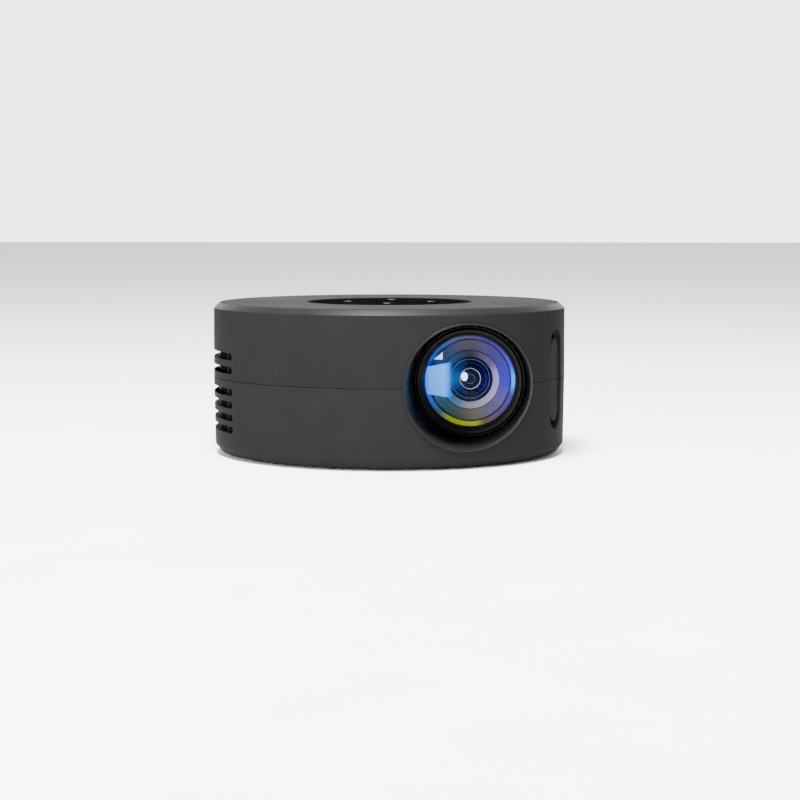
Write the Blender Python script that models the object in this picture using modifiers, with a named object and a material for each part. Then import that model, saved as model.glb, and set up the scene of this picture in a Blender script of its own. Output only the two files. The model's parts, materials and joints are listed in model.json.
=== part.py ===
"""A palm-sized home projector, built as the pieces that it comes apart into.

Metres, +Z up. The origin is the centre of the base, on the surface that the projector stands on.
The lens looks along -Y and +X is to the right of someone who faces the lens.
"""

import math

import bmesh
import bpy
from mathutils import Matrix, Vector

MM = 0.001
PARTS = "home_projector"
CUTTERS = "cutters"

# Gaps between pieces
GAP = 0.3 * MM
FINE_GAP = 0.15 * MM

# Body: a drum in two shells that meet half way up
BODY_RADIUS = 52.5 * MM
BODY_HEIGHT = 44.0 * MM
FOOT_HEIGHT = 0.8 * MM
WALL = 2.2 * MM
FLOOR = 2.0 * MM
TOP_CHAMFER_IN = 1.8 * MM
TOP_CHAMFER_DOWN = 1.65 * MM
BASE_CHAMFER_IN = 1.8 * MM
BASE_CHAMFER_UP = 2.2 * MM
TOP_DRAFT = 0.1 * MM
BASE_DRAFT = 0.3 * MM
SEAM_BEVEL = 0.2 * MM
TONGUE_HEIGHT = 1.35 * MM
TONGUE_WIDTH = 0.8 * MM
BODY_STEPS = 72

BASE_Z = FOOT_HEIGHT
TOP_Z = BASE_Z + BODY_HEIGHT
SEAM_Z = BASE_Z + 22.2 * MM
INNER_RADIUS = BODY_RADIUS - WALL
FLOOR_Z = BASE_Z + FLOOR
CEILING_Z = TOP_Z - WALL
ROOT_Z = FLOOR_Z - 0.4 * MM  # where posts and rails root in the floor
ABOVE = TOP_Z + 5 * MM  # cutters that pass the top end here
BELOW = -1 * MM  # cutters that pass the base start here
MIDDLE = [(0, 0)]

# Lens: its axis lies in the seam's plane, to the right of the middle
LENS_X = 24.6 * MM
LENS_Z = SEAM_Z
LENS_ORIGIN = Vector((LENS_X, 0, LENS_Z))
LENS_TURN = (math.radians(90), 0, 0)  # local +Z looks out of the lens, along -Y
BEZEL_MOUTH_RADIUS = 17.3 * MM
BEZEL_THROAT_RADIUS = 16.5 * MM
BEZEL_OUTER_RADIUS = 18.0 * MM
BEZEL_PROUD = 0.3 * MM
BEZEL_BACK = 24.0 * MM
BARREL_FRONT = 27.4 * MM
BARREL_STEP = 20.0 * MM
BARREL_BACK = 3.0 * MM
BAFFLE_BACK = 17.6 * MM
BARREL_FRONT_RADIUS = 15.0 * MM
BARREL_REAR_RADIUS = 13.0 * MM
GLASS_RADIUS = 13.2 * MM
RING_TIP_RADIUS = 16.2 * MM
RING_ROOT_RADIUS = 15.75 * MM
RING_INNER_RADIUS = 15.3 * MM
RING_FRONT = 26.2 * MM
RING_BACK = 12.0 * MM
RING_GRIP = 5.0 * MM
RING_TEETH = 40
RING_TOOTH_WIDTH = 1.0 * MM
FOCUS_TRAVEL = 2.0 * MM
LENS_STEPS = 48

# Air slots, cut straight through the left wall and the right rear wall
SLOT_HEIGHT = 2.1 * MM
SLOT_OFFSETS = [offset * MM for offset in (6.9, 2.9, -3.4, -7.1, -10.8, -14.3)]
LEFT_SLOT_LENGTH = 58.0 * MM
REAR_SLOT_LENGTH = 28.0 * MM
REAR_SLOT_ANGLE = 36.0
SLOTTED_WALLS = (("left", 180.0, LEFT_SLOT_LENGTH), ("rear", REAR_SLOT_ANGLE, REAR_SLOT_LENGTH))
RIB_ANGLES = (155.0, 167.5, 180.0, 192.5, 205.0)
RIB_HALF_WIDTH = 0.6 * MM
RIB_HALF_DEPTH = 0.9 * MM
RIB_OVERLAP = 0.3 * MM
RIB_TOP_Z = SEAM_Z + 9.0 * MM

# Strap bridge, moulded into the right side beside the lens
STRAP_ANGLE = -19.0  # from +X, anticlockwise seen from above
STRAP_RECESS_WIDTH = 9.8 * MM
STRAP_RECESS_HEIGHT = 29.2 * MM
STRAP_RECESS_DEPTH = 1.3 * MM
STRAP_BAR_WIDTH = 6.6 * MM
STRAP_BAR_HEIGHT = 26.0 * MM
STRAP_BAR_SUNK = 0.35 * MM
STRAP_CHANNEL_WIDTH = 6.0 * MM
STRAP_CHANNEL_HEIGHT = 28.4 * MM
STRAP_CHANNEL_DEPTH = 2.4 * MM
STRAP_BAR_THICKNESS = 2.0 * MM
STRAP_WALL = 1.0 * MM
STRAP_OVERLAP = 0.4 * MM

# Control panel and keys, in the middle of the top
PANEL_RADIUS = 24.3 * MM
PANEL_SUNK = 0.15 * MM
PANEL_THICKNESS = 1.0 * MM
RECESS_DEPTH = PANEL_SUNK + PANEL_THICKNESS + FINE_GAP
KEY_WELL_RADIUS = 18.6 * MM
CENTRE_KEY_RADIUS = 5.9 * MM
RING_KEY_INNER = 8.4 * MM
RING_KEY_OUTER = 16.6 * MM
KEY_SLIT = 2.4 * MM
KEY_FLANGE = 0.6 * MM
KEY_DEPTH = 2.5 * MM
KEY_FLANGE_DEPTH = 1.0 * MM
KEY_NAMES = {"key_menu": 90.0, "key_back": 180.0, "key_play": 270.0, "key_next": 0.0}
KEY_BOARD_RADIUS = 21.6 * MM
KEY_BOARD_Z = (39.6 * MM, 40.7 * MM)
KEY_PILOT_TOP_Z = CEILING_Z - 0.1 * MM
DOME_TOP_Z = 41.8 * MM
KEY_POST_REACH = 19.9 * MM
KEY_POST_RADIUS = 1.7 * MM
KEY_POST_ANGLES = (120.0, 300.0)

# Case screws, their bosses and the feet
BOSSES = [(x * MM, y * MM) for x, y in ((-25.0, -36.5), (-25.0, 36.5), (20.5, 42.0), (45.8, 9.0))]
BOSS_RADIUS = 3.0 * MM
SCREW_RADIUS = 1.0 * MM
SCREW_HEAD_RADIUS = 1.9 * MM
SCREW_SEAT_Z = 13.0 * MM
SCREW_TIP_Z = 30.0 * MM
SCREW_HEAD_HEIGHT = 1.7 * MM
DRIVE_REACH = 1.2 * MM
DRIVE_HALF_WIDTH = 0.3 * MM
DRIVE_DEPTH = 0.6 * MM
FOOT_PLACE = 27.0 * MM
FEET = [(x * FOOT_PLACE, y * FOOT_PLACE) for x, y in ((-1, -1), (1, -1), (1, 1), (-1, 1))]
FOOT_RADIUS = 4.0 * MM
FOOT_SUNK = 0.6 * MM

# Small screws, which hold the key board and the main board
SMALL_HEAD_RADIUS = 1.4 * MM
SMALL_HEAD_HEIGHT = 0.8 * MM
SMALL_SHAFT_RADIUS = 0.6 * MM
SMALL_PILOT_RADIUS = 0.9 * MM

# Light engine, in line behind the lens
ENGINE_HALF_WIDTH = 16.6 * MM
ENGINE_Z = (7.0 * MM, 39.0 * MM)
ENGINE_COVER = 1.5 * MM
ENGINE_WALL = 1.6 * MM
ENGINE_Y = (-1.0 * MM, 27.0 * MM)
ENGINE_MOUTH_RADIUS = 14.6 * MM
SINK_X = (13.6 * MM, 31.6 * MM)
SINK_Y = (29.1 * MM, 37.2 * MM)
SINK_HALF_HEIGHT = 13.5 * MM
SINK_BASE = 2.0 * MM
SINK_FIN = 1.2 * MM
SINK_FINS = 7
MOUNT_RADIUS = 15.0 * MM
MOUNT_FLANGE_RADIUS = 18.2 * MM
MOUNT_FLANGE_FRONT = 3.2 * MM

# Main board and sockets
BOARD_Z = (8.0 * MM, 9.4 * MM)
BOARD_POSTS = [(x * MM, y * MM) for x, y in ((-30.0, -4.0), (1.5, 4.0), (-24.0, 27.0))]
BOARD_POST_RADIUS = 2.0 * MM
PORT_FACE_Y = 49.0 * MM
PORT_MOUTH_Y = 48.4 * MM
PORT_WALL = 2.4 * MM
PORT_PLATE_X = 17.4 * MM
PORT_FACE_X = 24.0 * MM
PORT_TOP_Z = SEAM_Z - 2 * MM
PORT_FACE_LOW_Z = BASE_Z + 3.5 * MM
SOCKET_Z = BOARD_Z[1] + FINE_GAP
RAIL_WIDTH = 2.0 * MM
LEAD_RADIUS = 0.6 * MM
USB_X = -1.5 * MM
USB_WIDTH, USB_HEIGHT, USB_DEPTH = 13.2 * MM, 5.7 * MM, 14.0 * MM
POWER_X = -13.6 * MM
POWER_WIDTH, POWER_HEIGHT, POWER_DEPTH = 7.5 * MM, 2.7 * MM, 6.0 * MM
JACK_X = 9.6 * MM
JACK_Z = 12.4 * MM
JACK_RADIUS = 2.7 * MM
JACK_BORE_RADIUS = 1.8 * MM
JACK_BACK = 37.8 * MM
JACK_HALF_WIDTH = 3.0 * MM

# Fan, behind the left slots
FAN_SIDE = 35.0 * MM
FAN_X = (-44.0 * MM, -37.0 * MM)
FAN_Z = 22.8 * MM
FAN_HUB_RADIUS = 8.0 * MM
FAN_TIP_RADIUS = 15.6 * MM
FAN_BORE_RADIUS = 16.2 * MM
FAN_BLADES = 7
FAN_PITCH = 38.0
BLADE_HALF_WIDTH = 2.6 * MM
BLADE_HALF_THICKNESS = 0.45 * MM
MOTOR_PLATE = 1.1 * MM
STRUTS = 3
STRUT_HALF_WIDTH = 1.0 * MM

# Speaker, on the floor at the front left
SPEAKER = (-9.0 * MM, -27.0 * MM)
SPEAKER_RADIUS = 12.0 * MM
SPEAKER_RIM = 1.3 * MM
SPEAKER_HEIGHT = 5.6 * MM
GRILLE_HOLE_RADIUS = 0.8 * MM
GRILLE_RINGS = ((3 * MM, 6), (6 * MM, 12))

UP = Vector((0, 0, 1))


# ---------------------------------------------------------------- scene and materials


def clear_scene():
    for old in list(bpy.data.objects):
        bpy.data.objects.remove(old, do_unlink=True)


def new_collection(name):
    collection = bpy.data.collections.new(name)
    bpy.context.scene.collection.children.link(collection)
    return collection


def look(name, colour, roughness, metallic=0.0, alpha=1.0):
    """A plain Principled material."""
    material = bpy.data.materials.new(name)
    material.use_nodes = True
    shader = material.node_tree.nodes["Principled BSDF"]
    shader.inputs["Base Color"].default_value = (*colour, 1.0)
    shader.inputs["Roughness"].default_value = roughness
    shader.inputs["Metallic"].default_value = metallic
    shader.inputs["Alpha"].default_value = alpha
    return material


def place(piece, material):
    """Puts a piece with a material among the parts, and one without among the cutters."""
    if material is None:
        bpy.data.collections[CUTTERS].objects.link(piece)
        piece.hide_render = True
        piece.display_type = "WIRE"
    else:
        bpy.data.collections[PARTS].objects.link(piece)
        piece.data.materials.append(material)
    return piece


# ---------------------------------------------------------------- shapes


def shade(mesh):
    mesh.shade_smooth()
    mesh.set_sharp_from_angle(angle=math.radians(35))


def block(name, low, high, material=None, bevel=0.0):
    """A box between two corners."""
    low, high = Vector(low), Vector(high)
    mesh = bpy.data.meshes.new(name)
    shape = bmesh.new()
    bmesh.ops.create_cube(shape, size=1.0, matrix=Matrix.Diagonal((*(high - low), 1)))
    shape.to_mesh(mesh)
    shape.free()
    piece = bpy.data.objects.new(name, mesh)
    piece.location = (low + high) / 2
    if bevel:
        edge = piece.modifiers.new("edges", "BEVEL")
        edge.width = bevel
        edge.segments = 2
    return place(piece, material)


def drums(name, spots, radius, low, high, material=None, steps=16):
    """Upright cylinders of one size, standing at each (x, y) spot."""
    mesh = bpy.data.meshes.new(name)
    shape = bmesh.new()
    for x, y in spots:
        bmesh.ops.create_cone(
            shape,
            cap_ends=True,
            segments=steps,
            radius1=radius,
            radius2=radius,
            depth=high - low,
            matrix=Matrix.Translation((x, y, (low + high) / 2)),
        )
    shape.to_mesh(mesh)
    shape.free()
    shade(mesh)
    return place(bpy.data.objects.new(name, mesh), material)


def rod(name, start, end, radius, material=None, steps=32):
    """A cylinder from one point to another."""
    start, end = Vector(start), Vector(end)
    mesh = bpy.data.meshes.new(name)
    shape = bmesh.new()
    length = (end - start).length
    bmesh.ops.create_cone(shape, cap_ends=True, segments=steps, radius1=radius, radius2=radius, depth=length)
    shape.to_mesh(mesh)
    shape.free()
    shade(mesh)
    piece = bpy.data.objects.new(name, mesh)
    piece.location = (start + end) / 2
    piece.rotation_euler = UP.rotation_difference(end - start).to_euler()
    return place(piece, material)


def turned(name, profile, material, steps, origin=(0, 0, 0), turn=(0, 0, 0), closed=False):
    """A profile of (radius, height) points turned about the object's Z axis.

    An open profile starts and ends on the axis. A closed one makes a ring.
    """
    mesh = bpy.data.meshes.new(name)
    shape = bmesh.new()
    points = [shape.verts.new((radius, 0, height)) for radius, height in profile]
    for first, second in zip(points, points[1:]):
        shape.edges.new((first, second))
    if closed:
        shape.edges.new((points[-1], points[0]))
    shape.to_mesh(mesh)
    shape.free()
    piece = bpy.data.objects.new(name, mesh)
    piece.location = origin
    piece.rotation_euler = turn
    screw = piece.modifiers.new("turn", "SCREW")
    screw.steps = steps
    screw.render_steps = steps
    screw.use_merge_vertices = True
    screw.merge_threshold = 0.00001
    screw.use_smooth_shade = True
    return place(piece, material)


def lens_rod(name, back, front, radius):
    """A cutter along the lens axis, from one distance in front of the body's middle to another."""
    return rod(name, (LENS_X, -front, LENS_Z), (LENS_X, -back, LENS_Z), radius, steps=LENS_STEPS)


def lens_piece(name, profile, material, closed=True, steps=LENS_STEPS):
    """A piece turned about the lens axis. Its heights are distances in front of the body's middle."""
    return turned(name, profile, material, steps, LENS_ORIGIN, LENS_TURN, closed)


def plate(name, outline, low, high, material=None, bevel=0.0):
    """A flat outline of (x, y) points, filled, from one height to another."""
    curve = bpy.data.curves.new(name, "CURVE")
    curve.dimensions = "2D"
    curve.fill_mode = "BOTH"
    curve.extrude = (high - low) / 2
    spline = curve.splines.new("POLY")
    spline.points.add(len(outline) - 1)
    for point, (x, y) in zip(spline.points, outline):
        point.co = (x, y, 0, 1)
    spline.use_cyclic_u = True
    guide = bpy.data.objects.new(name + "_outline", curve)
    bpy.context.scene.collection.objects.link(guide)
    graph = bpy.context.evaluated_depsgraph_get()
    mesh = bpy.data.meshes.new_from_object(guide.evaluated_get(graph))
    bpy.data.objects.remove(guide, do_unlink=True)
    shape = bmesh.new()
    shape.from_mesh(mesh)
    bmesh.ops.remove_doubles(shape, verts=shape.verts, dist=0.000001)
    bmesh.ops.recalc_face_normals(shape, faces=shape.faces)
    shape.to_mesh(mesh)
    shape.free()
    shade(mesh)
    piece = bpy.data.objects.new(name, mesh)
    piece.location = (0, 0, (low + high) / 2)
    if bevel:
        edge = piece.modifiers.new("edges", "BEVEL")
        edge.width = bevel
        edge.segments = 2
        edge.limit_method = "ANGLE"
        edge.angle_limit = math.radians(50)
    return place(piece, material)


def tube(name, route, radius, material):
    """A wire along a route of points, as a curve with filled caps."""
    curve = bpy.data.curves.new(name, "CURVE")
    curve.dimensions = "3D"
    curve.bevel_depth = radius
    curve.bevel_resolution = 1
    curve.use_fill_caps = True
    spline = curve.splines.new("POLY")
    spline.points.add(len(route) - 1)
    for point, place_on_route in zip(spline.points, route):
        point.co = (*place_on_route, 1)
    return place(bpy.data.objects.new(name, curve), material)


def arc(radius, first, last, steps, centre=(0.0, 0.0)):
    """Points on an arc, from one angle in degrees to another."""
    angles = [math.radians(first + (last - first) * step / steps) for step in range(steps + 1)]
    return [(centre[0] + radius * math.cos(a), centre[1] + radius * math.sin(a)) for a in angles]


def stadium(length, width, steps=6):
    """A slot's outline along X, with round ends."""
    half = (length - width) / 2
    return arc(width / 2, -90, 90, steps, (half, 0)) + arc(width / 2, 90, 270, steps, (-half, 0))


def ring_sector(inner, outer, middle, slit, steps=8):
    """A quarter of a ring, with parallel-sided slits between it and its neighbours."""
    outer_half = 45 - math.degrees(math.asin(slit / 2 / outer))
    inner_half = 45 - math.degrees(math.asin(slit / 2 / inner))
    outside = arc(outer, middle - outer_half, middle + outer_half, steps)
    return outside + arc(inner, middle + inner_half, middle - inner_half, steps)


# ---------------------------------------------------------------- joining and cutting


def boolean(piece, operation, others):
    for other in others:
        modifier = piece.modifiers.new(operation.lower(), "BOOLEAN")
        modifier.operation = operation
        modifier.object = other
    return piece


def cut(piece, *cutters):
    return boolean(piece, "DIFFERENCE", cutters)


def join(piece, *others):
    return boolean(piece, "UNION", others)


def keep(piece, *others):
    return boolean(piece, "INTERSECT", others)


def aim(piece, angle, distance, height, upright=False):
    """Turns a plate so that its thickness runs outwards in the plan, and its X upright or level."""
    outward = Vector((math.cos(math.radians(angle)), math.sin(math.radians(angle)), 0))
    along = UP if upright else UP.cross(outward)
    across = outward.cross(along)
    turn = Matrix((along, across, outward)).transposed().to_4x4()
    piece.matrix_world = Matrix.Translation(outward * distance + UP * height) @ turn
    return piece


# ---------------------------------------------------------------- casing


def air_slots(side):
    """Cutters for the air slots on one side of the seam: left wall and right rear wall."""
    slots = []
    for row, offset in enumerate(SLOT_OFFSETS):
        if offset * side < 0:
            continue
        for wall, angle, length in SLOTTED_WALLS:
            slot = plate(f"{wall}_slot_{row}", stadium(length, SLOT_HEIGHT), -10 * MM, 10 * MM)
            slots.append(aim(slot, angle, INNER_RADIUS, SEAM_Z + offset))
    return slots


def slot_ribs(side, low, high):
    """Uprights behind the left slots, which tie the bars between the slots together."""
    ribs = []
    near, far = (-RIB_HALF_WIDTH, 0, -RIB_HALF_DEPTH), (RIB_HALF_WIDTH, high - low, RIB_HALF_DEPTH)
    distance = INNER_RADIUS + RIB_OVERLAP - RIB_HALF_DEPTH
    for angle in RIB_ANGLES:
        rib = block(f"rib_{side}_{angle:.0f}", near, far)
        ribs.append(aim(rib, angle, distance, (low + high) / 2))
    return ribs


def half_stadium(length, width, side, steps=6):
    """The half of an upright slot's outline on one side of the seam, short of it by half a gap."""
    centre = (length - width) / 2
    near = FINE_GAP
    outline = [(near, -width / 2), *arc(width / 2, -90, 90, steps, (centre, 0)), (near, width / 2)]
    return [(side * x, y) for x, y in outline]


def add_strap_bridge(shell, side):
    """A strap threads in at one end of the recess, behind the bar and out at the other end."""
    floor = BODY_RADIUS - STRAP_RECESS_DEPTH
    bar_front = BODY_RADIUS - STRAP_BAR_SUNK
    bar_back = bar_front - STRAP_BAR_THICKNESS
    channel_back = bar_back - STRAP_CHANNEL_DEPTH
    backing_back = channel_back - STRAP_WALL
    backing_size = (STRAP_RECESS_HEIGHT + 2 * STRAP_WALL, STRAP_RECESS_WIDTH + 2 * STRAP_WALL)
    outside = BODY_RADIUS + 5 * MM

    def upright(label, outline, low, high):
        half = (high - low) / 2
        piece = plate(f"strap_{label}_{side + 1}", outline, -half, half)
        return aim(piece, STRAP_ANGLE, low + half, SEAM_Z, upright=True)

    backing = half_stadium(*backing_size, side)
    recess = stadium(STRAP_RECESS_HEIGHT, STRAP_RECESS_WIDTH)
    channel = stadium(STRAP_CHANNEL_HEIGHT, STRAP_CHANNEL_WIDTH)
    bar = half_stadium(STRAP_BAR_HEIGHT, STRAP_BAR_WIDTH, side)
    join(shell, upright("backing", backing, backing_back, floor + STRAP_OVERLAP))
    cut(shell, upright("recess", recess, floor, outside))
    cut(shell, upright("channel", channel, channel_back, outside))
    join(shell, upright("bar", bar, bar_back, bar_front))


def lens_opening():
    return lens_rod("lens_opening", 20 * MM, 60 * MM, BEZEL_OUTER_RADIUS + FINE_GAP)


def make_upper_shell(material):
    outer = BODY_RADIUS - TOP_DRAFT
    joint = SEAM_Z + FINE_GAP
    rebate = INNER_RADIUS + TONGUE_WIDTH + GAP
    rebate_top = SEAM_Z + TONGUE_HEIGHT + GAP
    profile = [
        (0, TOP_Z),
        (outer - TOP_CHAMFER_IN, TOP_Z),
        (outer, TOP_Z - TOP_CHAMFER_DOWN),
        (BODY_RADIUS, joint + SEAM_BEVEL),
        (BODY_RADIUS - SEAM_BEVEL, joint),
        (rebate, joint),
        (rebate, rebate_top),
        (INNER_RADIUS, rebate_top),
        (INNER_RADIUS, CEILING_Z),
        (0, CEILING_Z),
    ]
    shell = turned("upper_shell", profile, material, BODY_STEPS)
    add_strap_bridge(shell, 1)
    cut(shell, lens_opening())
    cut(shell, *air_slots(1))
    join(shell, *slot_ribs(1, rebate_top + GAP, RIB_TOP_Z))
    cut(shell, drums("panel_recess", MIDDLE, PANEL_RADIUS + GAP, TOP_Z - RECESS_DEPTH, ABOVE, steps=64))
    cut(shell, drums("key_well", MIDDLE, KEY_WELL_RADIUS, CEILING_Z - 5 * MM, TOP_Z, steps=40))
    join(shell, drums("upper_bosses", BOSSES, BOSS_RADIUS, joint, CEILING_Z + 0.5 * MM))
    cut(shell, drums("upper_pilots", BOSSES, SCREW_RADIUS + GAP, SEAM_Z - 2 * MM, SCREW_TIP_Z + 1 * MM))
    posts = key_post_spots()
    join(shell, drums("key_posts", posts, KEY_POST_RADIUS, KEY_BOARD_Z[1] + FINE_GAP, CEILING_Z + GAP))
    cut(shell, drums("key_pilots", posts, SMALL_PILOT_RADIUS, KEY_BOARD_Z[0], KEY_PILOT_TOP_Z, steps=12))
    return shell


def make_lower_shell(material):
    outer = BODY_RADIUS - BASE_DRAFT
    joint = SEAM_Z - FINE_GAP
    tongue = INNER_RADIUS + TONGUE_WIDTH
    tongue_top = SEAM_Z + TONGUE_HEIGHT
    profile = [
        (0, FLOOR_Z),
        (INNER_RADIUS, FLOOR_Z),
        (INNER_RADIUS, tongue_top),
        (tongue, tongue_top),
        (tongue, joint),
        (BODY_RADIUS - SEAM_BEVEL, joint),
        (BODY_RADIUS, joint - SEAM_BEVEL),
        (outer, BASE_Z + BASE_CHAMFER_UP),
        (outer - BASE_CHAMFER_IN, BASE_Z),
        (0, BASE_Z),
    ]
    shell = turned("lower_shell", profile, material, BODY_STEPS)
    gap_in_tongue = plate("tongue_gap", stadium(16 * MM, 4 * MM), -3 * MM, 3 * MM)
    aim(gap_in_tongue, STRAP_ANGLE, INNER_RADIUS, joint + 2 * MM)
    cut(shell, gap_in_tongue)
    add_strap_bridge(shell, -1)
    cut(shell, lens_opening())
    cut(shell, *air_slots(-1))
    join(shell, *slot_ribs(-1, ROOT_Z, joint - 0.4 * MM))
    add_port_face(shell)
    join(shell, drums("lower_bosses", BOSSES, BOSS_RADIUS, ROOT_Z, joint))
    cut(shell, drums("screw_wells", BOSSES, SCREW_HEAD_RADIUS + GAP, BELOW, SCREW_SEAT_Z))
    cut(shell, drums("screw_holes", BOSSES, SCREW_RADIUS + GAP, SCREW_SEAT_Z - 1 * MM, SEAM_Z + 5 * MM))
    cut(shell, drums("foot_seats", FEET, FOOT_RADIUS + GAP, BELOW, BASE_Z + FOOT_SUNK))
    join(shell, drums("board_posts", BOARD_POSTS, BOARD_POST_RADIUS, ROOT_Z, BOARD_Z[0] - FINE_GAP))
    pilots = drums("board_pilots", BOARD_POSTS, SMALL_PILOT_RADIUS, FLOOR_Z + 0.4 * MM, BOARD_Z[1], steps=12)
    cut(shell, pilots)
    add_speaker_seat(shell)
    add_rails(shell, "engine", (LENS_X - 12 * MM, LENS_X + 12 * MM), (3 * MM, 21 * MM), ENGINE_Z[0])
    add_rails(shell, "fan", FAN_X, (-15 * MM, 13 * MM), FAN_Z - FAN_SIDE / 2)
    return shell


def add_speaker_seat(shell):
    """A ring that the speaker stands in, over the holes of its grille."""
    wall = drums("speaker_wall", [SPEAKER], SPEAKER_RADIUS + SPEAKER_RIM, ROOT_Z, FLOOR_Z + 2 * MM, steps=32)
    cut(wall, drums("speaker_seat", [SPEAKER], SPEAKER_RADIUS + GAP, 0, FLOOR_Z + 5 * MM, steps=32))
    join(shell, wall)
    cut(shell, drums("speaker_grille", grille_spots(), GRILLE_HOLE_RADIUS, BELOW, FLOOR_Z + 1 * MM, steps=8))


def add_rails(shell, name, across, places, load_z):
    """Low rails on the floor, which carry a heavy piece whose underside is at load_z."""
    for number, y in enumerate(places):
        low, high = (across[0], y, ROOT_Z), (across[1], y + RAIL_WIDTH, load_z - FINE_GAP)
        join(shell, block(f"{name}_rail_{number}", low, high))


def add_port_face(shell):
    """A flat face at the back, thickened behind, with a hole for each socket."""
    outside = BODY_RADIUS + 5 * MM
    low = (-PORT_PLATE_X, PORT_FACE_Y - PORT_WALL, ROOT_Z)
    high = (PORT_PLATE_X, PORT_FACE_Y + 0.5 * MM, PORT_TOP_Z)
    join(shell, block("port_plate", low, high))
    low = (-PORT_FACE_X, PORT_FACE_Y, PORT_FACE_LOW_Z)
    high = (PORT_FACE_X, outside, PORT_TOP_Z - 1 * MM)
    cut(shell, block("port_face", low, high))
    sockets = (("usb", USB_X, USB_WIDTH, USB_HEIGHT), ("power", POWER_X, POWER_WIDTH, POWER_HEIGHT))
    for name, x, width, height in sockets:
        low = (x - width / 2 - GAP, PORT_FACE_Y - 5 * MM, SOCKET_Z - GAP)
        high = (x + width / 2 + GAP, PORT_FACE_Y + 5 * MM, SOCKET_Z + height + GAP)
        cut(shell, block(f"{name}_hole", low, high))
    start, end = (JACK_X, JACK_BACK, JACK_Z), (JACK_X, outside, JACK_Z)
    cut(shell, rod("jack_hole", start, end, JACK_RADIUS + GAP, steps=24))


def grille_spots():
    spots = [SPEAKER]
    for reach, count in GRILLE_RINGS:
        spots += arc(reach, 0, 360 - 360 / count, count - 1, SPEAKER)
    return spots


def key_post_spots():
    return [arc(KEY_POST_REACH, angle, angle, 1)[0] for angle in KEY_POST_ANGLES]


def make_bezel(material):
    profile = [
        (BEZEL_MOUTH_RADIUS, 60 * MM),
        (BEZEL_OUTER_RADIUS, 60 * MM),
        (BEZEL_OUTER_RADIUS, BEZEL_BACK),
        (BEZEL_THROAT_RADIUS, BEZEL_BACK),
        (BEZEL_THROAT_RADIUS, BEZEL_BACK + 2 * MM),
        (BEZEL_MOUTH_RADIUS, BEZEL_BACK + 7 * MM),
    ]
    bezel = lens_piece("lens_bezel", profile, material)
    keep(bezel, drums("bezel_face", MIDDLE, BODY_RADIUS + BEZEL_PROUD, 0, TOP_Z, steps=BODY_STEPS))


def make_feet(material):
    for number, spot in enumerate(FEET, 1):
        drums(f"foot_{number}", [spot], FOOT_RADIUS, 0, BASE_Z + FOOT_SUNK - GAP, material)


def make_case_screws(material):
    """Long screws, driven from below, with a cross in each head."""
    low, high = SCREW_SEAT_Z - SCREW_HEAD_HEIGHT, SCREW_SEAT_Z - FINE_GAP
    for number, (x, y) in enumerate(BOSSES, 1):
        screw = drums(f"case_screw_{number}", [(x, y)], SCREW_HEAD_RADIUS, low, high, material)
        shaft = drums(f"screw_shaft_{number}", [(x, y)], SCREW_RADIUS, low + 1 * MM, SCREW_TIP_Z, steps=12)
        join(screw, shaft)
        for arm, reach in enumerate(((DRIVE_REACH, DRIVE_HALF_WIDTH), (DRIVE_HALF_WIDTH, DRIVE_REACH))):
            near = (x - reach[0], y - reach[1], low - 1 * MM)
            far = (x + reach[0], y + reach[1], low + DRIVE_DEPTH)
            cut(screw, block(f"drive_{number}_{arm}", near, far))


# ---------------------------------------------------------------- control panel


def key_outline(angle, grow):
    return ring_sector(RING_KEY_INNER - grow, RING_KEY_OUTER + grow, angle, KEY_SLIT - 2 * grow)


def make_panel(material):
    low = TOP_Z - PANEL_SUNK - PANEL_THICKNESS
    panel = drums("control_panel", MIDDLE, PANEL_RADIUS, low, TOP_Z - PANEL_SUNK, material, 64)
    cut(panel, drums("centre_window", MIDDLE, CENTRE_KEY_RADIUS + GAP, low - 1 * MM, ABOVE, steps=32))
    for name, angle in KEY_NAMES.items():
        cut(panel, plate(f"{name}_window", key_outline(angle, GAP), low - 1 * MM, ABOVE))


def make_keys(material):
    """A round key in the middle of a ring of four, each with a flange that stays under the panel."""
    low = TOP_Z - KEY_DEPTH
    flange = low + 0.1 * MM, low + KEY_FLANGE_DEPTH
    middle = drums("key_power", MIDDLE, CENTRE_KEY_RADIUS, low, TOP_Z, material, 32)
    join(middle, drums("power_flange", MIDDLE, CENTRE_KEY_RADIUS + KEY_FLANGE, *flange, steps=32))
    for name, angle in KEY_NAMES.items():
        key = plate(name, key_outline(angle, 0), low, TOP_Z, material)
        join(key, plate(f"{name}_flange", key_outline(angle, KEY_FLANGE), *flange))


def dome_spots():
    reach = (RING_KEY_INNER + RING_KEY_OUTER) / 2
    spots = {name.replace("key", "dome"): arc(reach, angle, angle, 1)[0] for name, angle in KEY_NAMES.items()}
    return {"dome_power": (0, 0), **spots}


def make_key_board(board_material, metal):
    """The round board over the lens engine, with a switch dome under each key and its two screws."""
    low, top = KEY_BOARD_Z
    posts = key_post_spots()
    board = drums("key_board", MIDDLE, KEY_BOARD_RADIUS, low, top, board_material, 48)
    cut(board, drums("key_board_holes", posts, SMALL_PILOT_RADIUS, low - 1 * MM, top + 1 * MM, steps=12))
    base = top + FINE_GAP
    profile = [(0, DOME_TOP_Z - base), (1.0 * MM, 0.9 * MM), (2.0 * MM, 0.45 * MM), (2.6 * MM, 0), (0, 0)]
    for name, (x, y) in dome_spots().items():
        turned(name, profile, metal, 12, (x, y, base))
    head_low, tip = low - SMALL_HEAD_HEIGHT, KEY_PILOT_TOP_Z - 0.5 * MM
    for number, spot in enumerate(posts, 1):
        screw = drums(f"key_board_screw_{number}", [spot], SMALL_HEAD_RADIUS, head_low, low - FINE_GAP, metal)
        shaft = drums(f"key_screw_shaft_{number}", [spot], SMALL_SHAFT_RADIUS, low - 0.5 * MM, tip, steps=10)
        join(screw, shaft)


# ---------------------------------------------------------------- optics


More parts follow.
